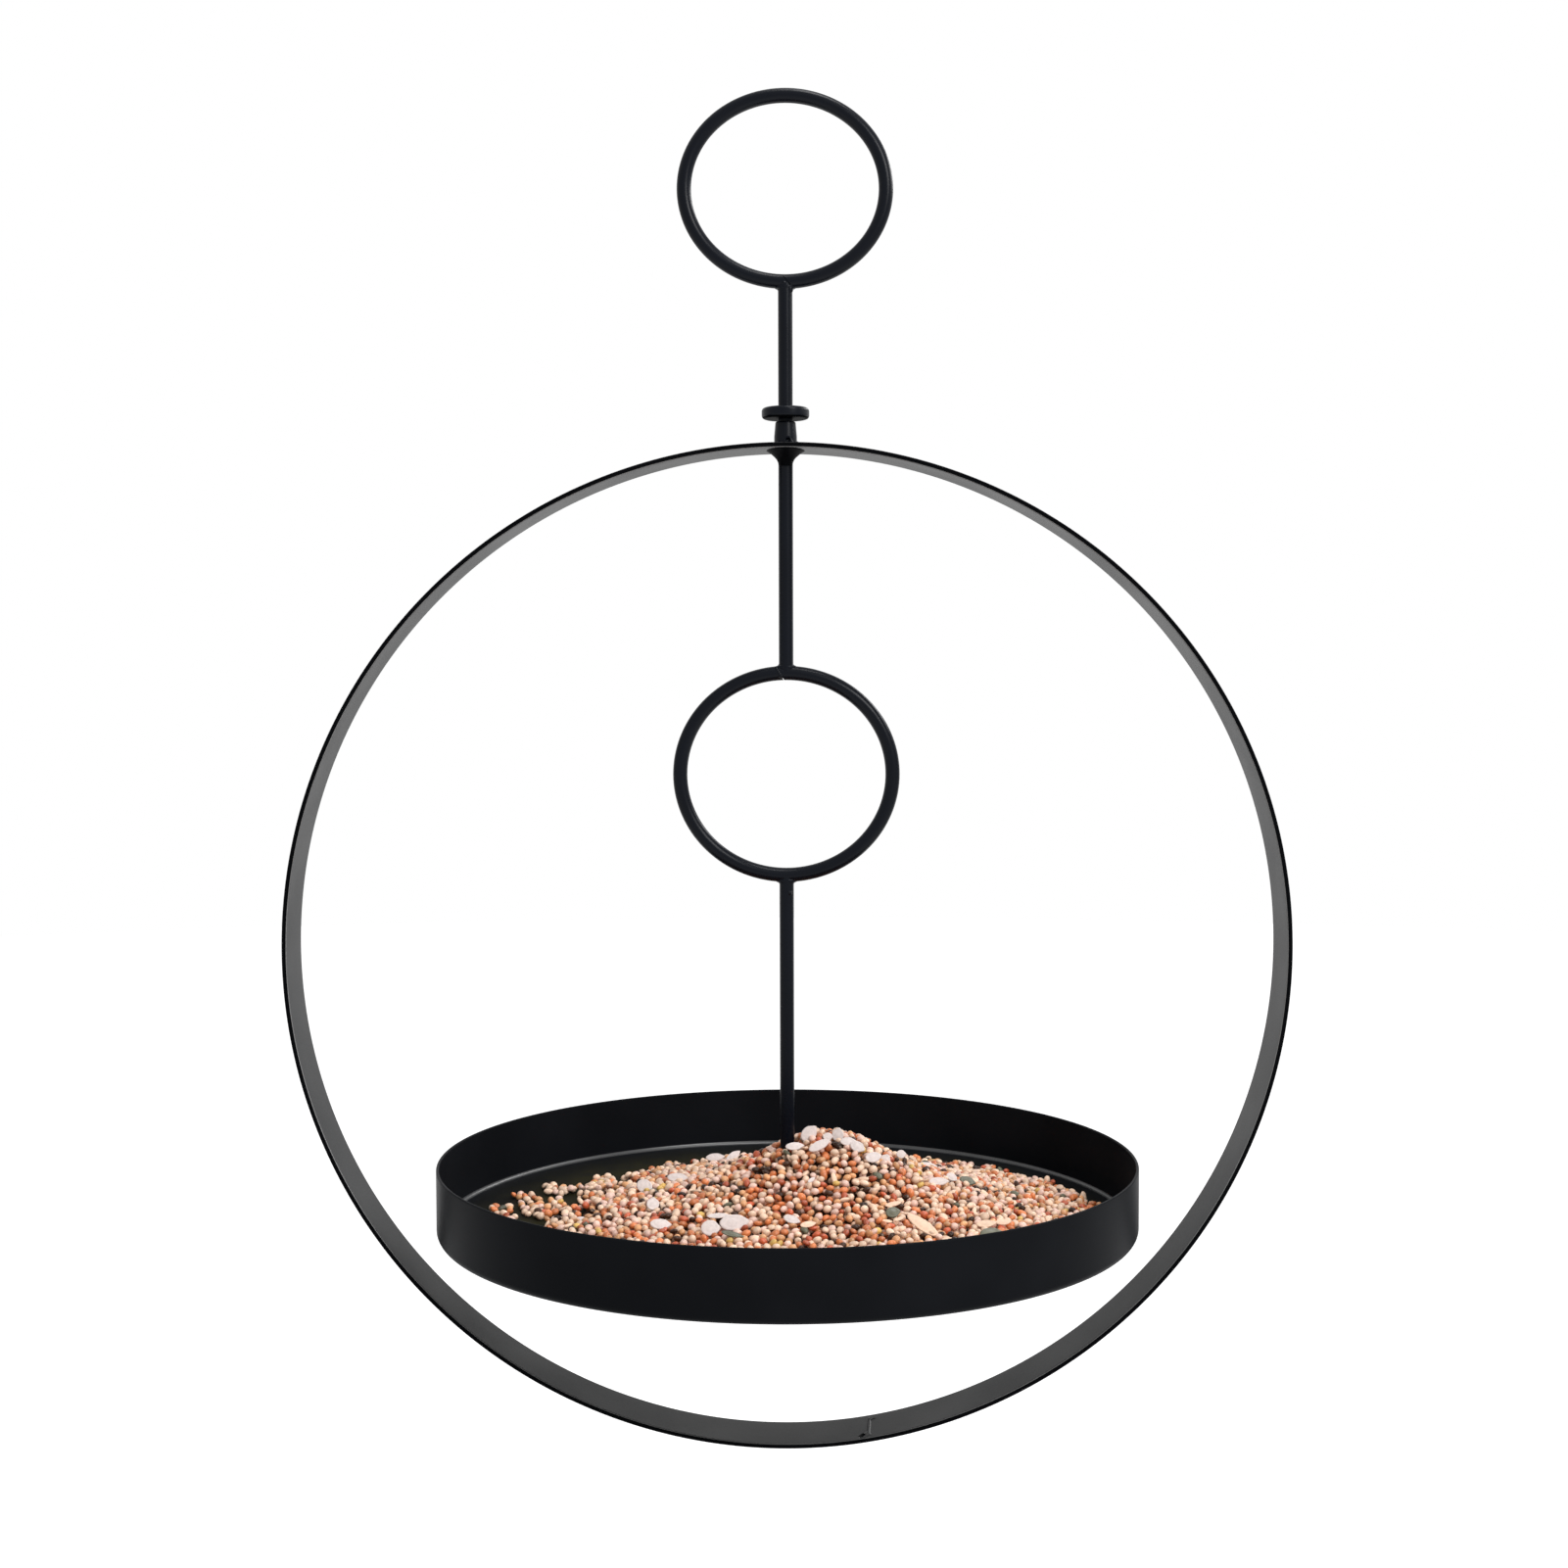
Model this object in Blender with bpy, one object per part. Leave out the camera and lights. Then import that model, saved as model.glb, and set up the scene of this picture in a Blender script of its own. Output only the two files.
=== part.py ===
"""Ring bird feeder: a flat strip rolled into a hoop, with a seed tray hung inside it on welded rod.

The origin is the point that the feeder hangs from, inside the top of the hanging ring.
+Z is up and the hoop faces along Y. Every length is in metres.
"""

import math

import bmesh
import bpy
from mathutils import Matrix, Vector

MM = 0.001

# Rod stock of the hanger, the two rings and the drops
ROD_DIAMETER = 4.3 * MM
ROD_SIDES = 12
THREAD_DIAMETER = 4.1 * MM
THREAD_TIP_CHAMFER = 0.4 * MM

# Clearances between pieces
SEAT_GAP = 0.3 * MM
FIXED_FIT = 0.1 * MM
RUNNING_FIT = 0.08 * MM
MERGE_DISTANCE = 0.001 * MM
CUT_OVERRUN = 1.0 * MM

# Hanging ring, an oval bent from rod with its ends butted on top of the stem
HANGING_RING_WIDTH = 64.2 * MM
HANGING_RING_HEIGHT = 58.8 * MM
HANGING_RING_BUTT_ANGLE = math.radians(-89.2)

# Middle ring, an oval bent from rod with its ends butted just left of the upper rod
MIDDLE_RING_WIDTH = 68.0 * MM
MIDDLE_RING_HEIGHT = 64.9 * MM
MIDDLE_RING_BUTT_ANGLE = math.radians(93.2)

RING_STEPS = 80
BUTT_GAP = 0.3 * MM

# Stop disc, fixed on the stem just above the boss
STOP_DISC_DIAMETER = 14.2 * MM
STOP_DISC_THICKNESS = 3.3 * MM
STOP_DISC_EDGE_RADIUS = 0.9 * MM
STOP_DISC_LIFT = 0.8 * MM

# Threaded boss, a sleeve welded on top of the hoop, straight at the foot and tapered above
BOSS_HEIGHT = 6.7 * MM
BOSS_STRAIGHT_HEIGHT = 2.2 * MM
BOSS_TOP_DIAMETER = 6.1 * MM
BOSS_FOOT_DIAMETER = 6.8 * MM
BOSS_TOP_CHAMFER = 0.35 * MM
STEM_LENGTH = 39.2 * MM
STEM_TIP_LIFT = 0.6 * MM

# Hoop, a flat strip rolled with its wide faces in and out, and welded shut right of its lowest point
HOOP_DIAMETER = 300.0 * MM
HOOP_WIDTH = 19.0 * MM
HOOP_THICKNESS = 1.5 * MM
HOOP_EDGE_RADIUS = 0.3 * MM
HOOP_STEPS = 160
SEAM_ANGLE = math.radians(-80.6)
SEAM_GAP = 0.3 * MM
SEAM_FRONT_NOTCH_LENGTH = 2.9 * MM
SEAM_FRONT_NOTCH_DEPTH = 6.5 * MM
SEAM_BACK_NOTCH_LENGTH = 2.5 * MM
SEAM_BACK_NOTCH_DEPTH = 4.2 * MM
SEAM_BEAD_RISE = 0.25 * MM
SEAM_BEAD_EDGE_RADIUS = 0.2 * MM

# Weld beads, each measured out from the piece that it goes round
RING_WELD_THICKNESS = 0.75 * MM
RING_WELD_LIP = 0.3 * MM
RING_WELD_REACH = 1.7 * MM
RING_WELD_HORN = 0.9 * MM
HOOP_WELD_WIDTH = 3.2 * MM
HOOP_WELD_LIP = 0.25 * MM
HOOP_WELD_HEIGHT = 4.3 * MM
HOOP_WELD_EDGE = 0.25 * MM
BOSS_WELD_WIDTH = 0.7 * MM
BOSS_WELD_HEIGHT = 0.8 * MM
BOSS_WELD_LIP = 0.15 * MM

# Drop from the inside of the hoop to the middle ring, and where the tray lies in the hoop
UPPER_DROP = 64.0 * MM
TRAY_LIFT = 65.1 * MM
TRAY_SIDE_ROOM = 18.0 * MM

# Seed tray, a shallow pan pressed from sheet
TRAY_HEIGHT = 20.0 * MM
TRAY_SHEET = 0.9 * MM
TRAY_CORNER_RADIUS = 2.2 * MM
TRAY_HOLE_CLEARANCE = 0.35 * MM
TRAY_SEAT_MARGIN = 1.5 * MM
TRAY_SEAT_DEPTH = 0.1 * MM
TRAY_STEPS = 80

# M4 hardware that clamps the tray
NUT_ACROSS_FLATS = 7.0 * MM
NUT_HEIGHT = 3.2 * MM
NUT_CHAMFER = 0.35 * MM
WASHER_DIAMETER = 9.0 * MM
WASHER_THICKNESS = 0.8 * MM
CAP_NUT_HEIGHT = 8.0 * MM
CAP_NUT_DOME_DIAMETER = 6.5 * MM
CAP_NUT_THREAD_DEPTH = 5.6 * MM
ROD_TIP_ROOM = 0.5 * MM
THREAD_SPARE = 2.0 * MM

TURN_STEPS = 24
ARC_STEPS = 4
EDGE_STEPS = 1
SMOOTH_ANGLE = math.radians(35)

# Heights that follow, from the hanging point down
hanging_ring_centre = ROD_DIAMETER - HANGING_RING_HEIGHT / 2
hanging_ring_foot = ROD_DIAMETER - HANGING_RING_HEIGHT
boss_top = hanging_ring_foot - STEM_LENGTH
boss_foot = boss_top - BOSS_HEIGHT
hoop_top = boss_foot - SEAT_GAP
hoop_centre = hoop_top - HOOP_DIAMETER / 2
hoop_ceiling = hoop_top - HOOP_THICKNESS
hoop_floor = hoop_top - HOOP_DIAMETER + HOOP_THICKNESS
middle_ring_top = hoop_ceiling - UPPER_DROP
middle_ring_centre = middle_ring_top - MIDDLE_RING_HEIGHT / 2
middle_ring_foot = middle_ring_top - MIDDLE_RING_HEIGHT
tray_underside = hoop_floor + TRAY_LIFT
tray_floor = tray_underside + TRAY_SHEET
top_washer_foot = tray_floor - TRAY_SEAT_DEPTH + SEAT_GAP
stop_nut_foot = top_washer_foot + WASHER_THICKNESS + SEAT_GAP
bottom_washer_foot = tray_underside + TRAY_SEAT_DEPTH - SEAT_GAP - WASHER_THICKNESS
cap_nut_face = bottom_washer_foot - SEAT_GAP
rod_tip = cap_nut_face - CAP_NUT_THREAD_DEPTH + ROD_TIP_ROOM

# The tray leaves room at each side for the hoop, which closes in below its centre
hoop_half_chord = math.sqrt((HOOP_DIAMETER / 2 - HOOP_THICKNESS) ** 2 - (hoop_centre - tray_underside) ** 2)
tray_radius = hoop_half_chord - TRAY_SIDE_ROOM


def clear_scene():
    for existing in list(bpy.data.objects):
        bpy.data.objects.remove(existing)


def make_material(name, colour, roughness, metallic):
    material = bpy.data.materials.new(name)
    material.use_nodes = True
    shader = material.node_tree.nodes["Principled BSDF"]
    shader.inputs["Base Color"].default_value = (*colour, 1)
    shader.inputs["Roughness"].default_value = roughness
    shader.inputs["Metallic"].default_value = metallic
    return material


def add_axis(name, height, parent=None):
    """An empty on the vertical axis that a moving group turns about or slides along."""
    axis = bpy.data.objects.new(name, None)
    bpy.context.scene.collection.objects.link(axis)
    axis.parent = parent
    axis.location.z = height - (parent.matrix_world.translation.z if parent else 0)
    bpy.context.view_layer.update()
    return axis


def add_piece(name, shape, material, height, parent=None):
    """A named solid from a bmesh, modelled about its own origin and set at a height on the vertical axis."""
    mesh = bpy.data.meshes.new(name)
    shape.to_mesh(mesh)
    shape.free()
    mesh.shade_smooth()
    mesh.set_sharp_from_angle(angle=SMOOTH_ANGLE)
    mesh.materials.append(material)
    piece = bpy.data.objects.new(name, mesh)
    bpy.context.scene.collection.objects.link(piece)
    piece.parent = parent
    piece.location.z = height - (parent.matrix_world.translation.z if parent else 0)
    return piece


def add_cutter(name, shape, height):
    """A helper that is only cut with, so it isn't rendered."""
    mesh = bpy.data.meshes.new(name)
    shape.to_mesh(mesh)
    shape.free()
    cutter = bpy.data.objects.new(name, mesh)
    bpy.context.scene.collection.objects.link(cutter)
    cutter.location.z = height
    cutter.hide_render = True
    cutter.display_type = "WIRE"
    return cutter


def combine(piece, other, operation):
    boolean = piece.modifiers.new(f"{operation.lower()}_{other.name}", "BOOLEAN")
    boolean.operation = operation
    boolean.object = other
    boolean.solver = "EXACT"


def arc(centre_x, centre_y, radius, start, end, steps=ARC_STEPS):
    """Points of an arc, both ends included, with its angles in degrees."""
    turns = [math.radians(start + (end - start) * step / steps) for step in range(steps + 1)]
    return [(centre_x + radius * math.cos(turn), centre_y + radius * math.sin(turn)) for turn in turns]


def revolve(profile, steps, closed=True):
    """Turns (radius, height) points about Z. An open profile starts and ends on the axis."""
    shape = bmesh.new()
    points = [shape.verts.new((radius, 0, height)) for radius, height in profile]
    pairs = zip(points, points[1:] + points[:1] * closed)
    edges = [shape.edges.new(pair) for pair in pairs]
    bmesh.ops.spin(
        shape,
        geom=points + edges,
        cent=(0, 0, 0),
        axis=(0, 0, 1),
        angle=math.tau,
        steps=steps,
        use_merge=True,
    )
    bmesh.ops.remove_doubles(shape, verts=shape.verts, dist=MERGE_DISTANCE)
    bmesh.ops.recalc_face_normals(shape, faces=shape.faces)
    return shape


def extrude_outline(outline, bottom, top):
    """A prism on an (x, y) outline."""
    shape = bmesh.new()
    face = shape.faces.new([shape.verts.new((x, y, bottom)) for x, y in outline])
    raised = bmesh.ops.extrude_face_region(shape, geom=[face])["geom"]
    verts = [part for part in raised if isinstance(part, bmesh.types.BMVert)]
    bmesh.ops.translate(shape, verts=verts, vec=(0, 0, top - bottom))
    bmesh.ops.recalc_face_normals(shape, faces=shape.faces)
    return shape


def oval_tube(width, height, thickness, start, sweep, steps):
    """A round tube along an oval in the XZ plane. Width and height are measured over the rod's outside.

    It is swept from its start angle, and is a closed ring if the sweep is a whole turn.
    """
    half_width = (width - ROD_DIAMETER) / 2
    half_height = (height - ROD_DIAMETER) / 2
    whole = sweep == math.tau
    turns = [math.tau * side / ROD_SIDES for side in range(ROD_SIDES)]
    shape = bmesh.new()
    rings = []
    for step in range(steps + (not whole)):
        angle = start + sweep * step / steps
        centre = Vector((half_width * math.cos(angle), 0, half_height * math.sin(angle)))
        outward = Vector((half_height * math.cos(angle), 0, half_width * math.sin(angle))).normalized()
        sideways = Vector((0, 1, 0))
        section = [math.cos(turn) * outward + math.sin(turn) * sideways for turn in turns]
        rings.append([shape.verts.new(centre + thickness / 2 * point) for point in section])
    for first, second in zip(rings, rings[1:] + rings[:1] * whole):
        for side in range(ROD_SIDES):
            after = (side + 1) % ROD_SIDES
            shape.faces.new((first[side], first[after], second[after], second[side]))
    if not whole:
        shape.faces.new(rings[0])
        shape.faces.new(rings[-1])
    bmesh.ops.recalc_face_normals(shape, faces=shape.faces)
    return shape


def butted_ring(width, height, butt_angle):
    """A rod bent into an oval until its ends all but meet."""
    half_gap = BUTT_GAP / (width + height - 2 * ROD_DIAMETER) * 2
    return oval_tube(width, height, ROD_DIAMETER, butt_angle + half_gap, math.tau - 2 * half_gap, RING_STEPS)


def ring_clearance(width, height):
    """The oval that a weld bead is cut back to, so that it sits on its ring."""
    return oval_tube(width, height, ROD_DIAMETER + 2 * SEAT_GAP, 0, math.tau, RING_STEPS)


def rod_profile(top, bottom, thread_top=None):
    """A plain rod from top to bottom, threaded below thread_top where that is given."""
    plain = ROD_DIAMETER / 2
    if thread_top is None:
        return [(0, top), (plain, top), (plain, bottom), (0, bottom)]
    thread = THREAD_DIAMETER / 2
    return [
        (0, top),
        (plain, top),
        (plain, thread_top + plain - thread),
        (thread, thread_top),
        (thread, bottom + THREAD_TIP_CHAMFER),
        (thread - THREAD_TIP_CHAMFER, bottom),
        (0, bottom),
    ]


def hexagon():
    radius = NUT_ACROSS_FLATS / 2 / math.cos(math.pi / 6)
    turns = [math.tau * side / 6 for side in range(6)]
    return [(radius * math.cos(turn), radius * math.sin(turn)) for turn in turns]


def ring_weld_profile():
    """A bead round a rod's end, flaring up to the ring that it joins, whose outside is at height 0."""
    bore = ROD_DIAMETER / 2 + FIXED_FIT
    rim = bore + RING_WELD_THICKNESS
    spread = RING_WELD_THICKNESS - RING_WELD_LIP
    flare = [
        (rim - spread * math.cos(turn), -RING_WELD_REACH + RING_WELD_REACH * math.sin(turn))
        for turn in (math.pi / 2 * step / ARC_STEPS for step in range(ARC_STEPS + 1))
    ]
    return [(bore, RING_WELD_HORN), (bore, -RING_WELD_REACH), *flare, (rim, RING_WELD_HORN)]


def build_ring_weld(name, material, ring_width, ring_height, ring_centre, on_top, parent):
    """The bead that joins a rod's end to a ring, above the ring or below it."""
    direction = 1 if on_top else -1
    shape = revolve(ring_weld_profile(), TURN_STEPS)
    if on_top:
        upside_down = Matrix.Rotation(math.pi, 3, "X")
        bmesh.ops.rotate(shape, verts=shape.verts, cent=(0, 0, 0), matrix=upside_down)
    weld = add_piece(name, shape, material, ring_centre + direction * ring_height / 2, parent)
    seat = add_cutter(f"{name}_seat", ring_clearance(ring_width, ring_height), ring_centre)
    combine(weld, seat, "DIFFERENCE")


def build_hanger(material):
    """Hanging ring, its stem and weld, and the stop disc: the part that stays on the hook."""
    width = HANGING_RING_WIDTH
    height = HANGING_RING_HEIGHT
    ring = butted_ring(width, height, HANGING_RING_BUTT_ANGLE)
    add_piece("hanging_ring", ring, material, hanging_ring_centre)
    build_ring_weld("hanging_ring_weld", material, width, height, hanging_ring_centre, False, None)
    stem_top = STEM_LENGTH - SEAT_GAP
    stem_tip = STEM_TIP_LIFT - SEAT_GAP - BOSS_HEIGHT
    stem = revolve(rod_profile(stem_top, stem_tip, STOP_DISC_LIFT), TURN_STEPS, closed=False)
    add_piece("hanger_stem", stem, material, boss_top)
    bore = ROD_DIAMETER / 2 + FIXED_FIT
    rim = STOP_DISC_DIAMETER / 2 - STOP_DISC_EDGE_RADIUS
    disc = [
        (bore, STOP_DISC_THICKNESS),
        (bore, 0),
        *arc(rim, STOP_DISC_EDGE_RADIUS, STOP_DISC_EDGE_RADIUS, -90, 0),
        *arc(rim, STOP_DISC_THICKNESS - STOP_DISC_EDGE_RADIUS, STOP_DISC_EDGE_RADIUS, 0, 90),
    ]
    add_piece("stop_disc", revolve(disc, TURN_STEPS), material, boss_top + STOP_DISC_LIFT)


def build_boss(material, axis):
    """The sleeve that the hanger screws into, and the bead round its foot."""
    bore = THREAD_DIAMETER / 2 + RUNNING_FIT
    top = BOSS_TOP_DIAMETER / 2
    foot = BOSS_FOOT_DIAMETER / 2
    sleeve = [
        (bore, BOSS_HEIGHT),
        (bore, 0),
        (foot, 0),
        (foot, BOSS_STRAIGHT_HEIGHT),
        (top, BOSS_HEIGHT - BOSS_TOP_CHAMFER),
        (top - BOSS_TOP_CHAMFER, BOSS_HEIGHT),
    ]
    add_piece("threaded_boss", revolve(sleeve, TURN_STEPS), material, boss_foot, axis)
    inner = foot + FIXED_FIT
    outer = inner + BOSS_WELD_WIDTH
    bead = [
        (inner, BOSS_WELD_HEIGHT),
        (inner, 0),
        (outer, 0),
        *arc(outer, BOSS_WELD_HEIGHT, BOSS_WELD_WIDTH - BOSS_WELD_LIP, -90, -180),
    ]
    add_piece("boss_weld", revolve(bead, TURN_STEPS), material, boss_foot, axis)


def strip_section():
    """The strip's section with its rounded edges, as (radius, width) points."""
    outer = HOOP_DIAMETER / 2 - HOOP_EDGE_RADIUS
    inner = HOOP_DIAMETER / 2 - HOOP_THICKNESS + HOOP_EDGE_RADIUS
    side = HOOP_WIDTH / 2 - HOOP_EDGE_RADIUS
    corners = ((outer, -side, -90), (outer, side, 0), (inner, side, 90), (inner, -side, 180))
    return [
        point
        for radius, width, start in corners
        for point in arc(radius, width, HOOP_EDGE_RADIUS, start, start + 90, EDGE_STEPS)
    ]


def seam_outline():
    """The slit between the strip's ends, seen from inside the hoop, with a corner cut off each end.

    x runs along the strip to the right and y to the back.
    """
    slit = SEAM_GAP / 2
    edge = HOOP_WIDTH / 2
    past = edge + CUT_OVERRUN
    return [
        (-SEAM_FRONT_NOTCH_LENGTH, -past),
        (slit, -past),
        (slit, edge - SEAM_BACK_NOTCH_DEPTH),
        (SEAM_BACK_NOTCH_LENGTH, edge),
        (SEAM_BACK_NOTCH_LENGTH, past),
        (-slit, past),
        (-slit, -edge + SEAM_FRONT_NOTCH_DEPTH),
        (-SEAM_FRONT_NOTCH_LENGTH, -edge),
    ]


def seam_bead_outline(notch_length, notch_depth):
    """A three-cornered bead that fills a notch, clear of the strip, its square corner at the strip's edge."""
    slope = math.hypot(notch_length, notch_depth)
    narrow = SEAT_GAP * (slope + notch_length) / notch_depth
    short = SEAT_GAP * (slope + notch_depth) / notch_length
    return [(0, 0), (notch_length - narrow, 0), (0, notch_depth - short)]


def set_in_seam(shape):
    """Takes a shape from the flat strip at the hoop's lowest point to the seam."""
    turn = Matrix.Rotation(-SEAM_ANGLE - math.pi / 2, 3, "Y")
    bmesh.ops.rotate(shape, verts=shape.verts, cent=(0, 0, 0), matrix=turn)
    return shape


def build_seam_bead(name, material, axis, notch_length, notch_depth, side):
    """A weld bead in one notch of the seam: side is -1 for the front and 1 for the back."""
    corners = seam_bead_outline(notch_length, notch_depth)
    outline = [(side * x, side * (HOOP_WIDTH / 2 - y)) for x, y in corners]
    outer = -HOOP_DIAMETER / 2
    shape = extrude_outline(outline, outer, outer + HOOP_THICKNESS + SEAM_BEAD_RISE)
    bmesh.ops.bevel(
        shape,
        geom=shape.edges[:],
        offset=SEAM_BEAD_EDGE_RADIUS,
        offset_type="OFFSET",
        segments=EDGE_STEPS,
        affect="EDGES",
        clamp_overlap=True,
    )
    bmesh.ops.recalc_face_normals(shape, faces=shape.faces)
    add_piece(name, set_in_seam(shape), material, hoop_centre, axis)


def build_hoop(material, axis):
    """The rolled strip, slit at its seam, and the two beads that close it."""
    shape = revolve(strip_section(), HOOP_STEPS)
    upright = Matrix.Rotation(-math.pi / 2, 3, "X")
    bmesh.ops.rotate(shape, verts=shape.verts, cent=(0, 0, 0), matrix=upright)
    hoop = add_piece("hoop", shape, material, hoop_centre, axis)
    outer = -HOOP_DIAMETER / 2
    slit = extrude_outline(seam_outline(), outer - CUT_OVERRUN, outer + HOOP_THICKNESS + CUT_OVERRUN)
    combine(hoop, add_cutter("hoop_seam_slit", set_in_seam(slit), hoop_centre), "DIFFERENCE")
    front = (SEAM_FRONT_NOTCH_LENGTH, SEAM_FRONT_NOTCH_DEPTH, -1)
    back = (SEAM_BACK_NOTCH_LENGTH, SEAM_BACK_NOTCH_DEPTH, 1)
    build_seam_bead("hoop_seam_weld_front", material, axis, *front)
    build_seam_bead("hoop_seam_weld_back", material, axis, *back)


def build_upper_rod_weld(material, axis):
    """The hollow fillet under the hoop, wide against the strip and drawn in to the rod."""
    bore = ROD_DIAMETER / 2 + FIXED_FIT
    lip = bore + HOOP_WELD_LIP
    rim = bore + HOOP_WELD_WIDTH
    cove_height = HOOP_WELD_HEIGHT - HOOP_WELD_EDGE
    steps = 2 * ARC_STEPS
    cove = [
        (lip + (rim - lip) * (1 - math.cos(turn)), cove_height * math.sin(turn) - HOOP_WELD_HEIGHT)
        for turn in (math.pi / 2 * step / steps for step in range(steps + 1))
    ]
    fillet = [(bore, 0), (bore, -HOOP_WELD_HEIGHT), *cove, (rim, 0)]
    add_piece("upper_rod_weld", revolve(fillet, TURN_STEPS), material, hoop_ceiling - SEAT_GAP, axis)


def build_drops(material, axis):
    """The rods and the middle ring between the hoop and the tray, with their welds."""
    upper = rod_profile(UPPER_DROP - SEAT_GAP, SEAT_GAP)
    add_piece("upper_rod", revolve(upper, TURN_STEPS, closed=False), material, middle_ring_top, axis)
    build_upper_rod_weld(material, axis)

    width = MIDDLE_RING_WIDTH
    height = MIDDLE_RING_HEIGHT
    ring = butted_ring(width, height, MIDDLE_RING_BUTT_ANGLE)
    add_piece("middle_ring", ring, material, middle_ring_centre, axis)
    build_ring_weld("middle_ring_top_weld", material, width, height, middle_ring_centre, True, axis)
    build_ring_weld("middle_ring_bottom_weld", material, width, height, middle_ring_centre, False, axis)

    thread_top = stop_nut_foot + NUT_HEIGHT + THREAD_SPARE - middle_ring_foot
    lower = rod_profile(-SEAT_GAP, rod_tip - middle_ring_foot, thread_top)
    add_piece("lower_rod", revolve(lower, TURN_STEPS, closed=False), material, middle_ring_foot, axis)


def tray_profile():
    """The pan as one sheet, its rim rounded over, coined thinner round its hole where the washers seat."""
    corner = tray_radius - TRAY_CORNER_RADIUS
    half_sheet = TRAY_SHEET / 2
    hole = THREAD_DIAMETER / 2 + TRAY_HOLE_CLEARANCE
    seat = WASHER_DIAMETER / 2 + TRAY_SEAT_MARGIN
    return [
        (hole, TRAY_SEAT_DEPTH),
        (seat, TRAY_SEAT_DEPTH),
        (seat + TRAY_SEAT_DEPTH, 0),
        *arc(corner, TRAY_CORNER_RADIUS, TRAY_CORNER_RADIUS, -90, 0),
        *arc(tray_radius - half_sheet, TRAY_HEIGHT - half_sheet, half_sheet, 0, 180),
        *arc(corner, TRAY_CORNER_RADIUS, TRAY_CORNER_RADIUS - TRAY_SHEET, 0, -90),
        (seat + TRAY_SEAT_DEPTH, TRAY_SHEET),
        (seat, TRAY_SHEET - TRAY_SEAT_DEPTH),
        (hole, TRAY_SHEET - TRAY_SEAT_DEPTH),
    ]


def build_tray(material, axis):
    add_piece("tray", revolve(tray_profile(), TRAY_STEPS), material, tray_underside, axis)


def nut_blank():
    """The turned shape that takes a nut's sharp corners off, top and bottom."""
    flat = NUT_ACROSS_FLATS / 2
    corner = flat / math.cos(math.pi / 6) + NUT_CHAMFER
    profile = [
        (0, NUT_HEIGHT),
        (flat, NUT_HEIGHT),
        (corner, NUT_HEIGHT - NUT_CHAMFER),
        (corner, NUT_CHAMFER),
        (flat, 0),
        (0, 0),
    ]
    return revolve(profile, TURN_STEPS, closed=False)


def thread_bore(bottom, top):
    bore = THREAD_DIAMETER / 2 + RUNNING_FIT
    return revolve([(0, top), (bore, top), (bore, bottom), (0, bottom)], TURN_STEPS, closed=False)


def build_stop_nut(material, axis):
    """The plain nut on the rod that the tray is clamped up against."""
    nut = add_piece("tray_stop_nut", extrude_outline(hexagon(), 0, NUT_HEIGHT), material, stop_nut_foot, axis)
    combine(nut, add_cutter("stop_nut_blank", nut_blank(), stop_nut_foot), "INTERSECT")
    bore = thread_bore(-CUT_OVERRUN, NUT_HEIGHT + CUT_OVERRUN)
    combine(nut, add_cutter("stop_nut_bore", bore, stop_nut_foot), "DIFFERENCE")


def build_washer(name, material, height, axis):
    bore = THREAD_DIAMETER / 2 + FIXED_FIT
    rim = WASHER_DIAMETER / 2
    section = [(bore, WASHER_THICKNESS), (bore, 0), (rim, 0), (rim, WASHER_THICKNESS)]
    add_piece(name, revolve(section, TURN_STEPS), material, height, axis)


def build_cap_nut(material, axis):
    """A domed nut, closed at the foot, that the rod's tip ends in."""
    nut = add_piece("tray_cap_nut", extrude_outline(hexagon(), -NUT_HEIGHT, 0), material, cap_nut_face, axis)
    dome_radius = CAP_NUT_DOME_DIAMETER / 2
    neck = CAP_NUT_HEIGHT - dome_radius
    dome = [
        (0, -NUT_CHAMFER),
        (dome_radius, -NUT_CHAMFER),
        *arc(0, -neck, dome_radius, 0, -90, 2 * ARC_STEPS),
    ]
    combine(nut, add_cutter("cap_nut_dome", revolve(dome, TURN_STEPS, closed=False), cap_nut_face), "UNION")
    bore = thread_bore(-CAP_NUT_THREAD_DEPTH, CUT_OVERRUN)
    combine(nut, add_cutter("cap_nut_bore", bore, cap_nut_face), "DIFFERENCE")


def main():
    clear_scene()
    coat = make_material("black_powder_coat", (0.02, 0.022, 0.026), 0.45, 0.0)
    tray_coat = make_material("tray_powder_coat", (0.016, 0.018, 0.021), 0.4, 0.0)
    zinc = make_material("zinc_plated_steel", (0.62, 0.63, 0.65), 0.35, 1.0)

    frame_axis = add_axis("frame_turn_axis", boss_top)
    washer_axis = add_axis("washer_travel_axis", bottom_washer_foot, frame_axis)
    cap_nut_axis = add_axis("cap_nut_turn_axis", cap_nut_face, washer_axis)
    tray_axis = add_axis("tray_turn_axis", tray_underside, washer_axis)

    build_hanger(coat)
    build_boss(coat, frame_axis)
    build_hoop(coat, frame_axis)
    build_drops(coat, frame_axis)
    build_stop_nut(zinc, frame_axis)
    build_washer("tray_top_washer", zinc, top_washer_foot, tray_axis)
    build_tray(tray_coat, tray_axis)
    build_washer("tray_bottom_washer", zinc, bottom_washer_foot, washer_axis)
    build_cap_nut(zinc, cap_nut_axis)


main()
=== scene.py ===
"""Ring bird feeder: its fine shapes, its finishes and the seed in its tray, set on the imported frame.

Every length is in metres, in the frame's own axes: +Z up, +X to the right, and the hoop facing along Y.
The rods, strip and pan take their places and outer sizes from the frame's boxes.
"""

import math
import random

import bpy
import numpy as np
from bpy.props import FloatProperty, FloatVectorProperty, IntProperty, PointerProperty
from mathutils import Matrix, Vector, noise as field


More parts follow.
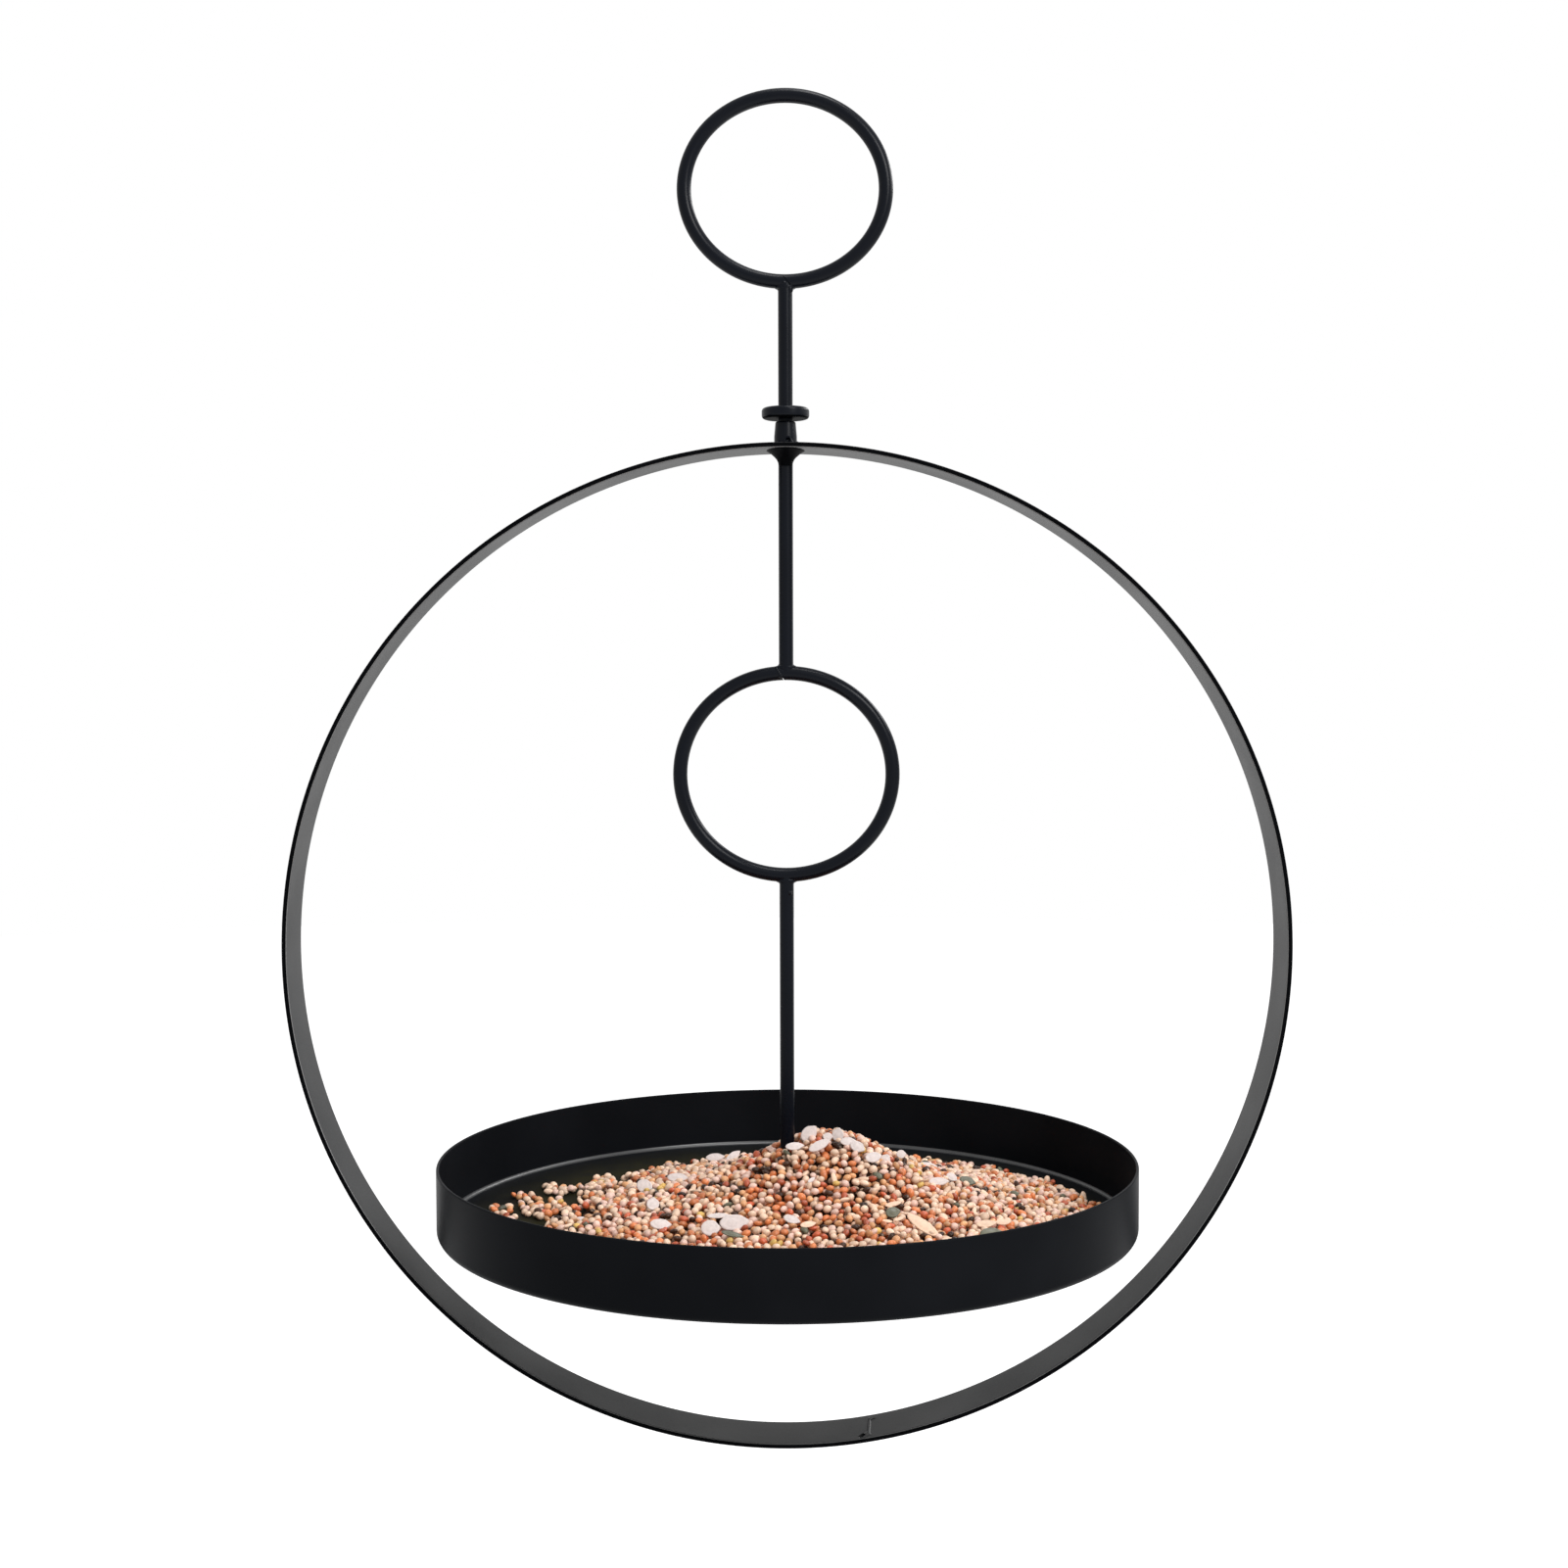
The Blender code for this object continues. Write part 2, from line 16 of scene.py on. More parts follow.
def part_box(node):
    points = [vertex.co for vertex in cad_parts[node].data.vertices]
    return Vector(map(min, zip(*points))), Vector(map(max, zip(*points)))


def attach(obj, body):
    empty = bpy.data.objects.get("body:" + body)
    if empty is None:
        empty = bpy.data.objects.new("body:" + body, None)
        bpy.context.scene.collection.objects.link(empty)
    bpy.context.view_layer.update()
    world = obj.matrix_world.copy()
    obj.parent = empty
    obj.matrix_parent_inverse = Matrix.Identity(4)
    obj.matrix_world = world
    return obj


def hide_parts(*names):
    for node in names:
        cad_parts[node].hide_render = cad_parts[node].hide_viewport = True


bl_info = {
    "name": "Ring Bird Feeder",
    "version": (1, 0, 0),
    "blender": (4, 5, 0),
    "location": "View3D > Sidebar > Feeder",
    "description": "Shapes and finishes a hanging ring feeder round its frame",
    "category": "Add Mesh",
}

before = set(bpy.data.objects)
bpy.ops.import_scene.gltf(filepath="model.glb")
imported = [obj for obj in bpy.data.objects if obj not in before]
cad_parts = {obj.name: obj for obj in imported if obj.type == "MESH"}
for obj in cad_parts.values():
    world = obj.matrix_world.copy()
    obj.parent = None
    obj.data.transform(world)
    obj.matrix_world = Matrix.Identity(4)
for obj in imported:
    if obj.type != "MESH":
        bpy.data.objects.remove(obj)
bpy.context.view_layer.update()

MM = 0.001

# Points nearer than this are made one
MERGE = 0.001 * MM

# How far inside the frame's box the outermost faces stay
SNUG = 0.003 * MM

ACROSS = Vector((1, 0, 0))
BACK = Vector((0, 1, 0))
UP = Vector((0, 0, 1))

# The turn that stands a ring upright, with its axis from front to back
UPRIGHT = (math.pi / 2, 0, 0)

# Facets round the fine shapes
ROD_SIDES = 32
RING_STEPS = 144
HOOP_STEPS = 360
PAN_STEPS = 240
TURN_STEPS = 64
ARC_STEPS = 8
SMOOTH_ANGLE = math.radians(40)


# Sizes and colours that a user would change


def length(name, description, default):
    return FloatProperty(
        name=name, description=description, default=default, unit="LENGTH", precision=5
    )


def colour(name, description, default):
    return FloatVectorProperty(
        name=name, description=description, default=default, subtype="COLOR", size=3, min=0, max=1
    )


def share(name, description, default):
    return FloatProperty(name=name, description=description, default=default, subtype="FACTOR", min=0, max=1)


def turn(name, description, default):
    return FloatProperty(name=name, description=description, default=default, unit="ROTATION")


def power(name, description, default):
    return FloatProperty(name=name, description=description, default=default, unit="POWER")


def pixels(name, description, default):
    return FloatProperty(name=name, description=description, default=default, subtype="PIXEL")


class CoatSettings(bpy.types.PropertyGroup):
    """The powder coats on the steel and the zinc on the nuts. Shine is what a coat reflects face on"""

    rod_black: colour("Rod black", "Coat on the rods and rings", (0.0012, 0.0022, 0.005))
    rod_roughness: share("Rod roughness", "How matt the coat on the rods is", 0.3)
    rod_shine: share("Rod shine", "Shine of the coat on the rods", 0.12)
    strip_black: colour("Strip black", "Coat on the hoop", (0.002, 0.0023, 0.003))
    strip_roughness: share("Strip roughness", "How matt the coat on the hoop is", 0.4)
    strip_shine: share("Strip shine", "Shine of the coat on the hoop", 0.15)
    edge_black: colour("Edge black", "Thin coat on cut edges", (0.0028, 0.003, 0.0036))
    edge_shine: share("Edge shine", "Shine of the thin coat on cut edges", 0.004)
    # Painted highlight: this colour is far lighter than the pan's black and paints the bright line along the
    # pan's inner bend and along the seam's weld lines; it is not a thicker coat
    bend_and_seam_highlight: colour("Bend black", "Thick coat in the pan's bend and on the seam", (0.034, 0.035, 0.036))
    # Painted highlight: a light grey on the strip's rounded inner corners paints the bright line that the
    # light draws along them; it is not worn coat
    corner_highlight_grey: colour("Corner grey", "Worn coat on the strip's inner corners", (0.15, 0.15, 0.15))
    # The bend and corner coats share this roughness and shine, which are real gloss; their light colours are
    # painted highlights, not a thick or worn coat
    bend_roughness: share("Bend roughness", "How matt the thick and the worn coat are", 0.3)
    bend_shine: share("Bend shine", "Shine of the thick and the worn coat", 0.5)
    pan_black: colour("Pan black", "Coat on the tray", (0.006, 0.0066, 0.008))
    pan_roughness: share("Pan roughness", "How matt the coat on the tray is", 0.4)
    pan_shine: share("Pan shine", "Shine of the coat on the tray", 0.018)
    peel_size: length("Peel size", "Width of one dimple of the coat", 1.6 * MM)
    peel_depth: length("Peel depth", "Depth of the dimples", 0.008 * MM)
    dust: colour("Chaff dust", "Fine dust on the tray's floor", (0.022, 0.02, 0.01))
    dust_depth: length("Dust depth", "How high the dust clings above the floor", 0.8 * MM)
    zinc: colour("Zinc", "Plated nuts and washers", (0.62, 0.63, 0.65))


class WeldSettings(bpy.types.PropertyGroup):
    """The beads where rod meets ring and strip"""

    detail: length("Detail", "Size of the finest lump in a bead", 0.12 * MM)
    ripple: length("Ripple", "Height of the ripples along a bead", 0.16 * MM)
    ripple_size: length("Ripple size", "Length of a ripple", 1.6 * MM)
    sink: length("Sink", "How far a bead's ends lie below the rod's skin", 0.06 * MM)
    reach: length("Reach", "How far a bead runs along the ring", 4.6 * MM)
    notch: length("Notch", "How far the filling between a ring's ends lies below its inside", 0.6 * MM)
    throat: length("Throat", "How far a small bead stands out in its corner", 0.9 * MM)


class HoopSettings(bpy.types.PropertyGroup):
    """The rolled strip and its welded seam"""

    thickness: length("Thickness", "Thickness of the strip", 1.5 * MM)
    edge_radius: length("Edge radius", "Rounding of the strip's edges", 0.32 * MM)
    seam_angle: turn("Seam angle", "From the hoop's lowest point to the right", math.radians(9.3))
    groove: length("Groove", "Radius of the groove left between the strip's ends", 0.3 * MM)
    bead: length("Bead", "Radius of the line of weld beside the groove", 0.28 * MM)
    proud: length("Proud", "How far the line of weld stands out of the strip", 0.2 * MM)


class TraySettings(bpy.types.PropertyGroup):
    """The pressed pan"""

    sheet: length("Sheet", "Thickness of the sheet", 0.9 * MM)
    corner_radius: length("Corner radius", "Outside rounding between wall and floor", 2.2 * MM)
    hole_radius: length("Hole radius", "Radius of the hole for the rod", 2.4 * MM)
    seat_radius: length("Seat radius", "Radius of the coined seat round the hole", 6.0 * MM)
    seat_depth: length("Seat depth", "Depth of the coined seat", 0.1 * MM)


class SeedSettings(bpy.types.PropertyGroup):
    """The heap of mixed seed"""

    grain: length("Grain", "Mean width of a millet grain", 2.38 * MM)
    peak_height: length("Peak height", "Height of the narrow peak over the broad heap", 12.0 * MM)
    peak_side: length("Peak side", "How far right of the rod the peak lies", 13.5 * MM)
    peak_width: length("Peak width", "How wide the narrow peak is", 24.0 * MM)
    heap_height: length("Heap height", "Height of the broad heap", 14.0 * MM)
    heap_width: length("Heap width", "How wide the broad heap is, side to side", 62.0 * MM)
    heap_depth: length("Heap depth", "How wide the broad heap is, front to back", 58.0 * MM)
    layer: length("Layer", "Thickness of the loose grains over the heap's core", 4.4 * MM)
    tries: IntProperty(name="Tries", description="How many grains are let fall", default=120000, min=100)
    draw: IntProperty(name="Draw", description="Number that the random places start from", default=7, min=0)
    cream: colour("Cream", "White millet", (0.85, 0.6, 0.435))
    blush: colour("Blush", "Pale pink millet", (0.82, 0.55, 0.45))
    tan: colour("Tan", "Tan millet", (0.7, 0.35, 0.16))
    yellow: colour("Yellow", "Yellow millet", (0.72, 0.46, 0.13))
    orange: colour("Orange", "Orange millet", (0.66, 0.2, 0.065))
    red: colour("Red", "Red millet", (0.52, 0.1, 0.035))
    brown: colour("Brown", "Dark shiny seed", (0.05, 0.02, 0.01))
    olive: colour("Olive", "Grey-green hulled seed", (0.11, 0.11, 0.07))
    kernel: colour("Kernel", "Pale flat kernels", (0.72, 0.63, 0.6))
    core: colour("Core", "Shaded grains inside the heap", (0.13, 0.065, 0.04))


class StageSettings(bpy.types.PropertyGroup):
    """The floor, the light and the camera"""

    floor_height: length("Floor height", "Height of the floor, far below the feeder", -0.9)
    floor_radius: length("Floor radius", "Radius of the floor", 6.0)
    sky: share("Sky", "Strength of the even light from all round", 0.5)
    key: power("Key", "Soft lamp, front right", 14)
    top: power("Top", "Soft lamp overhead", 6)
    side: power("Side", "Long lamp at the right", 5.5)
    eye: FloatVectorProperty(
        name="Eye",
        description="Where the camera stands",
        default=(0.0009, -0.622, -0.1738),
        size=3,
        unit="LENGTH",
    )
    focal_pixels: pixels("Focal length", "In pixels of the picture", 2119)
    frame_pixels: pixels("Frame", "Width of the picture", 1601)
    yaw: turn("Yaw", "Camera's turn to the right", math.radians(-0.15))
    pitch: turn("Pitch", "Camera's tilt upwards", math.radians(-2.56))
    roll: turn("Roll", "Camera's turn about its line of sight", math.radians(-0.15))


# Modelling steps that the pieces share


def begin():
    """Object mode with nothing selected, so that an operator acts on the next piece alone."""
    if bpy.context.mode != "OBJECT":
        bpy.ops.object.mode_set(mode="OBJECT")
    bpy.ops.object.select_all(action="DESELECT")


def pick(*pieces):
    begin()
    for piece in pieces:
        piece.select_set(True)
    bpy.context.view_layer.objects.active = pieces[0]
    return pieces[0]


def edit(piece, what="FACE"):
    """Edit mode on one piece with nothing selected."""
    pick(piece)
    bpy.ops.object.mode_set(mode="EDIT")
    bpy.ops.mesh.select_mode(type=what)
    bpy.ops.mesh.select_all(action="DESELECT")


def select_faces(piece, test):
    """Edit mode with the faces selected whose centre and normal pass the test."""
    edit(piece)
    bpy.ops.object.mode_set(mode="OBJECT")
    for face in piece.data.polygons:
        face.select = test(piece.matrix_world @ face.center, face.normal)
    bpy.ops.object.mode_set(mode="EDIT")


def apply_modifier(piece, name, kind, **settings):
    modifier = piece.modifiers.new(name, kind)
    for key, value in settings.items():
        setattr(modifier, key, value)
    pick(piece)
    bpy.ops.object.modifier_apply(modifier=modifier.name)


def combine(piece, tool, operation):
    """Cuts, joins or trims a piece with a tool, which is then thrown away."""
    apply_modifier(piece, operation.lower(), "BOOLEAN", operation=operation, object=tool, solver="EXACT")
    bpy.data.objects.remove(tool)
    return piece


def arc(centre_x, centre_y, radius, start, end, steps=ARC_STEPS):
    """Points of an arc, both ends included, with its angles in degrees."""
    turns = [math.radians(start + (end - start) * step / steps) for step in range(steps + 1)]
    return [(centre_x + radius * math.cos(angle), centre_y + radius * math.sin(angle)) for angle in turns]


def draw_line(outline, across, along, centre=Vector()):
    """Draws a line by extruding a point. Each place is a distance across and one along, from the centre."""
    places = [centre + across * x + along * y for x, y in outline]
    begin()
    bpy.ops.mesh.primitive_plane_add(size=MM, location=places[0])
    bpy.ops.object.mode_set(mode="EDIT")
    bpy.ops.mesh.select_mode(type="VERT")
    bpy.ops.mesh.select_all(action="SELECT")
    bpy.ops.mesh.merge(type="CENTER")
    for here, there in zip(places, places[1:]):
        bpy.ops.mesh.extrude_region_move(TRANSFORM_OT_translate={"value": there - here})
    bpy.ops.mesh.select_all(action="SELECT")


def close_up():
    """Merges doubles, turns the faces outwards and leaves edit mode."""
    bpy.ops.mesh.select_all(action="SELECT")
    bpy.ops.mesh.remove_doubles(threshold=MERGE)
    bpy.ops.mesh.normals_make_consistent(inside=False)
    bpy.ops.object.mode_set(mode="OBJECT")
    return bpy.context.object


def stretched(piece, size, centre):
    """Draws a whole piece out, or in, from a centre."""
    edit(piece)
    bpy.ops.mesh.select_all(action="SELECT")
    bpy.ops.transform.resize(value=size, center_override=centre)
    return close_up()


def thickened(radius, sides, closed_ends=False):
    """Gives the line that has just been drawn a round section."""
    bpy.ops.object.mode_set(mode="OBJECT")
    bpy.ops.object.convert(target="CURVE")
    curve = bpy.context.object.data
    curve.bevel_depth = radius
    curve.bevel_resolution = sides // 2 - 2
    curve.use_fill_caps = closed_ends
    bpy.ops.object.convert(target="MESH")
    return bpy.context.object


def turned(outline, steps=TURN_STEPS, centre=Vector(), axis=UP):
    """Spins an outline of (radius, height) points about an axis."""
    draw_line(outline, ACROSS, axis, centre)
    bpy.ops.mesh.spin(steps=steps, angle=math.tau, center=centre, axis=axis)
    return close_up()


def turned_ring(outline, steps=TURN_STEPS, centre=Vector(), axis=UP):
    """Spins a section that doesn't reach the axis, closed back to its first point."""
    return turned([*outline, outline[0]], steps, centre, axis)


def rod(radius, top, bottom, chamfer=0.3 * MM):
    begin()
    bpy.ops.mesh.primitive_cylinder_add(
        vertices=ROD_SIDES, radius=radius, depth=top - bottom, location=(0, 0, (top + bottom) / 2)
    )
    piece = bpy.context.object
    apply_modifier(piece, "ends", "BEVEL", width=chamfer, segments=2, limit_method="ANGLE")
    return piece


def finish(piece, name, material, body, nodes, melted_skin=False):
    """Sets a piece in its place on its body, with its finish, in the stead of the frame's plain nodes."""
    pick(piece)
    bpy.ops.object.transform_apply(location=True, rotation=True, scale=True)
    bpy.ops.object.shade_smooth_by_angle(angle=math.pi if melted_skin else SMOOTH_ANGLE)
    if not melted_skin:
        apply_modifier(piece, "flat_faces_first", "WEIGHTED_NORMAL", keep_sharp=True)
    piece.name = name
    piece.data.name = name
    piece.data.materials.clear()
    piece.data.materials.append(bpy.data.materials[material])
    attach(piece, body)
    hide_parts(*nodes)
    return piece


def second_coat(piece, material, test):
    """Gives another finish to the faces whose centre and normal pass the test."""
    piece.data.materials.append(bpy.data.materials[material])
    last = len(piece.data.materials) - 1
    for face in piece.data.polygons:
        if test(face.center, face.normal):
            face.material_index = last


def coated(piece, name, body, node, material="rod_coat"):
    return finish(piece, name, material, body, [node])


def welded(piece, name, body, node, material="rod_coat"):
    return finish(piece, name, material, body, [node], melted_skin=True)


def plated(piece, name, body, node):
    return finish(piece, name, "zinc_plate", body, [node])


def middle(box):
    return (box[0] + box[1]) / 2


# Finishes

# What each grain carries for its skin: its own tone, and how near a point of it is to the tip
TONE = "grain_tone"
TIP = "grain_tip"


def feed(tree, node, **inputs):
    """Sets a node's inputs, each to a value or to the output of another node.

    An input's name has _ for a space. _0 is the first input, whatever its name.
    """
    for key, value in inputs.items():
        socket = node.inputs[int(key[1:])] if key[1:].isdigit() else node.inputs[key.replace("_", " ")]
        if isinstance(value, bpy.types.NodeSocket):
            tree.links.new(value, socket)
        else:
            socket.default_value = value
    return node


def add_node(tree, kind, settings=None, **inputs):
    node = tree.nodes.new(kind)
    for key, value in (settings or {}).items():
        setattr(node, key, value)
    return feed(tree, node, **inputs)


def new_group(name, inputs, outputs):
    """An empty node group with its sockets, what its input node gives, and its output node."""
    group = bpy.data.node_groups.new(name, "ShaderNodeTree")
    for label, kind, value in inputs:
        socket = group.interface.new_socket(label, in_out="INPUT", socket_type=f"NodeSocket{kind}")
        if value is not None:
            socket.default_value = value
    for label, kind in outputs:
        group.interface.new_socket(label, in_out="OUTPUT", socket_type=f"NodeSocket{kind}")
    return group, group.nodes.new("NodeGroupInput").outputs, group.nodes.new("NodeGroupOutput")


def noise(tree, place, size, detail=2.0, roughness=0.5):
    """A noise whose lumps are as wide as a length."""
    return add_node(
        tree, "ShaderNodeTexNoise", Vector=place, Scale=1 / size, Detail=detail, Roughness=roughness
    ).outputs["Fac"]


def remap(tree, value, low, high, to_low, to_high):
    return add_node(
        tree, "ShaderNodeMapRange", Value=value, From_Min=low, From_Max=high, To_Min=to_low, To_Max=to_high
    ).outputs["Result"]


def mix_colours(tree, factor, first, second, blend="MIX"):
    """A mix of colours, whose sockets lie behind those for plain numbers and vectors."""
    settings = {"data_type": "RGBA", "blend_type": blend}
    return add_node(tree, "ShaderNodeMix", settings, _0=factor, _6=first, _7=second).outputs[2]


def sum_of(tree, first, second, operation="ADD"):
    return add_node(tree, "ShaderNodeMath", {"operation": operation}, _0=first, _1=second).outputs[0]


def make_coat_group():
    """Powder coat: dimples like orange peel, fine grains in its gloss, and thick and thin places.

    Peel Size is a scale that makes a dimple one unit wide, so the noises' sizes are in dimples.
    """
    inputs = [
        ("Vector", "Vector", None),
        ("Colour", "Color", (0, 0, 0, 1)),
        ("Roughness", "Float", 0.4),
        ("Peel Size", "Float", 1.0),
    ]
    outputs = [("Colour", "Color"), ("Roughness", "Float"), ("Height", "Float")]
    group, given, out = new_group("powder_coat", inputs, outputs)
    place = add_node(
        group, "ShaderNodeVectorMath", {"operation": "SCALE"}, _0=given["Vector"], _3=given["Peel Size"]
    ).outputs[0]
    peel = noise(group, place, 1, detail=1.5)
    grain = noise(group, place, 0.16, detail=1)
    cloud = noise(group, place, 18)
    thick = remap(group, cloud, 0.35, 0.7, 0, 1)
    lighter = mix_colours(group, 1.0, given["Colour"], (1.35, 1.35, 1.35, 1), "MULTIPLY")
    shade = mix_colours(group, thick, given["Colour"], lighter)
    spread = remap(group, grain, 0.3, 0.7, -0.035, 0.035)
    worn = remap(group, cloud, 0.3, 0.7, -0.03, 0.03)
    varied = sum_of(group, sum_of(group, given["Roughness"], spread), worn)
    height = sum_of(group, peel, sum_of(group, grain, 0.12, "MULTIPLY"))
    feed(group, out, Colour=shade, Roughness=varied, Height=height)
    return group


def make_dust_group():
    """Fine chaff that has sifted down onto a floor: it thins out upwards and lies in patches."""
    inputs = [
        ("Vector", "Vector", None),
        ("Colour", "Color", (0, 0, 0, 1)),
        ("Dust", "Color", (1, 1, 1, 1)),
        ("Floor", "Float", 0.0),
        ("Depth", "Float", 0.001),
        ("Reach", "Float", 0.1),
    ]
    outputs = [("Colour", "Color"), ("Cover", "Float")]
    group, given, out = new_group("chaff_dust", inputs, outputs)
    apart = add_node(group, "ShaderNodeSeparateXYZ", Vector=given["Vector"]).outputs
    above = sum_of(group, sum_of(group, apart["Z"], given["Floor"], "SUBTRACT"), given["Depth"], "DIVIDE")
    across = add_node(group, "ShaderNodeCombineXYZ", X=apart["X"], Y=apart["Y"]).outputs[0]
    distance = add_node(group, "ShaderNodeVectorMath", {"operation": "LENGTH"}, _0=across).outputs["Value"]
    swept = sum_of(group, given["Reach"], 0.8, "MULTIPLY")
    inside = remap(group, distance, swept, given["Reach"], 1, 0)
    on_top = sum_of(group, above, -0.5, "GREATER_THAN")
    on_floor = sum_of(group, inside, on_top, "MULTIPLY")
    low = sum_of(group, remap(group, above, 0, 1, 1, 0), on_floor, "MULTIPLY")
    patches = noise(group, given["Vector"], 9 * MM, detail=5, roughness=0.65)
    patchy = remap(group, patches, 0.32, 0.62, 0.25, 1)
    cover = sum_of(group, low, patchy, "MULTIPLY")
    feed(group, out, Colour=mix_colours(group, cover, given["Colour"], given["Dust"]), Cover=cover)
    return group


def make_grain_group():
    """The skin of a seed: its own tone in its lot, a mark at its tip and faint mottling."""
    inputs = [
        ("Vector", "Vector", None),
        ("Colour", "Color", (1, 1, 1, 1)),
        ("Mark", "Color", (0.3, 0.15, 0.08, 1)),
        ("Tone", "Float", 0.5),
        ("Tip", "Float", 0.0),
        ("Spread", "Float", 0.3),
    ]
    outputs = [("Colour", "Color"), ("Height", "Float")]
    group, given, out = new_group("seed_skin", inputs, outputs)
    mottle = noise(group, given["Vector"], 0.9 * MM, detail=3, roughness=0.6)
    low = sum_of(group, 1.0, given["Spread"], "SUBTRACT")
    high = sum_of(group, 1.0, sum_of(group, given["Spread"], 0.6, "MULTIPLY"))
    own = remap(group, given["Tone"], 0, 1, low, high)
    patch = remap(group, mottle, 0.3, 0.7, 0.9, 1.1)
    tone = sum_of(group, own, patch, "MULTIPLY")
    grey = add_node(group, "ShaderNodeCombineColor", Red=tone, Green=tone, Blue=tone).outputs["Color"]
    toned = mix_colours(group, 1.0, given["Colour"], grey, "MULTIPLY")
    mark = remap(group, given["Tip"], 0.55, 1.0, 0, 0.75)
    feed(group, out, Colour=mix_colours(group, mark, toned, given["Mark"]), Height=mottle)
    return group


def new_material(name):
    """A material with its Principled shader, its node tree and the object's own coordinates."""
    material = bpy.data.materials.new(name)
    material.use_nodes = True
    tree = material.node_tree
    shader = tree.nodes["Principled BSDF"]
    place = tree.nodes.new("ShaderNodeTexCoord").outputs["Object"]
    return tree, shader, place


def add_group(tree, group, **inputs):
    return add_node(tree, "ShaderNodeGroup", {"node_tree": group}, **inputs).outputs


def add_bump(tree, shader, height, depth):
    bump = add_node(tree, "ShaderNodeBump", Height=height, Distance=depth, Strength=1.0)
    feed(tree, shader, Normal=bump.outputs["Normal"])


def make_coat(name, colour_value, roughness, shine, coat, group):
    """A powder coat: black, or for the bend and corner coats a lighter grey whose colour paints their
    highlights.
    """
    tree, shader, place = new_material(name)
    skin = add_group(
        tree,
        group,
        Vector=place,
        Colour=(*colour_value, 1),
        Roughness=roughness,
        Peel_Size=1 / coat.peel_size,
    )
    looks = {"Base_Color": skin["Colour"], "Roughness": skin["Roughness"], "Specular_IOR_Level": shine}
    feed(tree, shader, **looks)
    add_bump(tree, shader, skin["Height"], coat.peel_depth)
    return tree, shader, place, skin


def make_pan_coat(coat, powder, dust_group, floor_height, inner_radius):
    """The tray's coat, with chaff dust on its floor."""
    tree, shader, place, skin = make_coat(
        "pan_coat", coat.pan_black, coat.pan_roughness, coat.pan_shine, coat, powder
    )
    dusty = add_group(
        tree,
        dust_group,
        Vector=place,
        Colour=skin["Colour"],
        Dust=(*coat.dust, 1),
        Floor=floor_height,
        Depth=coat.dust_depth,
        Reach=inner_radius,
    )
    rougher = sum_of(tree, sum_of(tree, dusty["Cover"], 0.3, "MULTIPLY"), skin["Roughness"])
    feed(tree, shader, Base_Color=dusty["Colour"], Roughness=rougher)


def make_zinc(coat):
    """Bright zinc plate with fine turning marks."""
    tree, shader, place = new_material("zinc_plate")
    spangle = noise(tree, place, 0.6 * MM, detail=3)
    marks = noise(tree, place, 0.12 * MM)
    tone = remap(tree, spangle, 0.3, 0.7, 0, 1)
    darker = [0.8 * value for value in coat.zinc]
    plate = mix_colours(tree, tone, (*darker, 1), (*coat.zinc, 1))
    matt = remap(tree, marks, 0.3, 0.7, 0.26, 0.42)
    feed(tree, shader, Base_Color=plate, Roughness=matt, Metallic=1.0)
    add_bump(tree, shader, marks, 0.01 * MM)


# Where a grain hung on its stalk, on the pale millets
HILUM = (0.32, 0.16, 0.08)

# How deep the mottling of a grain, of a flat kernel and of the shaded core is
GRAIN_DEPTH = 0.02 * MM
KERNEL_DEPTH = 0.04 * MM
CORE_DEPTH = 0.5 * MM

# The skin of each lot: its colour among the settings, the mark at its tip, roughness, shine, spread of
# tone from grain to grain, and depth of its mottling
SKINS = {
    "cream_millet": ("cream", HILUM, 0.36, 0.5, 0.22, GRAIN_DEPTH),
    "blush_millet": ("blush", HILUM, 0.36, 0.5, 0.2, GRAIN_DEPTH),
    "tan_millet": ("tan", (0.2, 0.08, 0.03), 0.34, 0.5, 0.35, GRAIN_DEPTH),
    "orange_millet": ("orange", (0.2, 0.06, 0.03), 0.32, 0.5, 0.35, GRAIN_DEPTH),
    "red_millet": ("red", (0.12, 0.03, 0.02), 0.32, 0.5, 0.35, GRAIN_DEPTH),
    "yellow_millet": ("yellow", (0.2, 0.1, 0.03), 0.4, 0.4, 0.25, GRAIN_DEPTH),
    "brown_seed": ("brown", (0.4, 0.3, 0.22), 0.26, 0.22, 0.5, GRAIN_DEPTH),
    "olive_seed": ("olive", (0.2, 0.18, 0.12), 0.4, 0.4, 0.4, GRAIN_DEPTH),
    "dark_kernel": ("olive", (0.2, 0.18, 0.12), 0.35, 0.5, 0.3, KERNEL_DEPTH),
    "cream_kernel": ("cream", HILUM, 0.45, 0.4, 0.15, KERNEL_DEPTH),
    "pale_husk": ("cream", HILUM, 0.4, 0.4, 0.15, GRAIN_DEPTH),
    "pale_kernel": ("kernel", (0.55, 0.4, 0.3), 0.5, 0.35, 0.16, KERNEL_DEPTH),
    "heap_core": ("core", (0.03, 0.015, 0.01), 0.8, 0.1, 0.4, CORE_DEPTH),
}


def make_seed_material(name, group, colour_value, mark, roughness, shine, spread, depth):
    """One lot of seed, whose grains differ by the tone that each carries."""
    tree, shader, place = new_material(name)
    tone, tip = (
        add_node(tree, "ShaderNodeAttribute", {"attribute_name": attribute}).outputs["Fac"]
        for attribute in (TONE, TIP)
    )
    skin = add_group(
        tree,
        group,
        Vector=place,
        Colour=(*colour_value, 1),
        Mark=(*mark, 1),
        Tone=tone,
        Tip=tip,
        Spread=spread,
    )
    varied = remap(tree, skin["Height"], 0.3, 0.7, roughness - 0.05, roughness + 0.08)
    feed(tree, shader, Base_Color=skin["Colour"], Roughness=varied, Specular_IOR_Level=shine)
    add_bump(tree, shader, skin["Height"], depth)


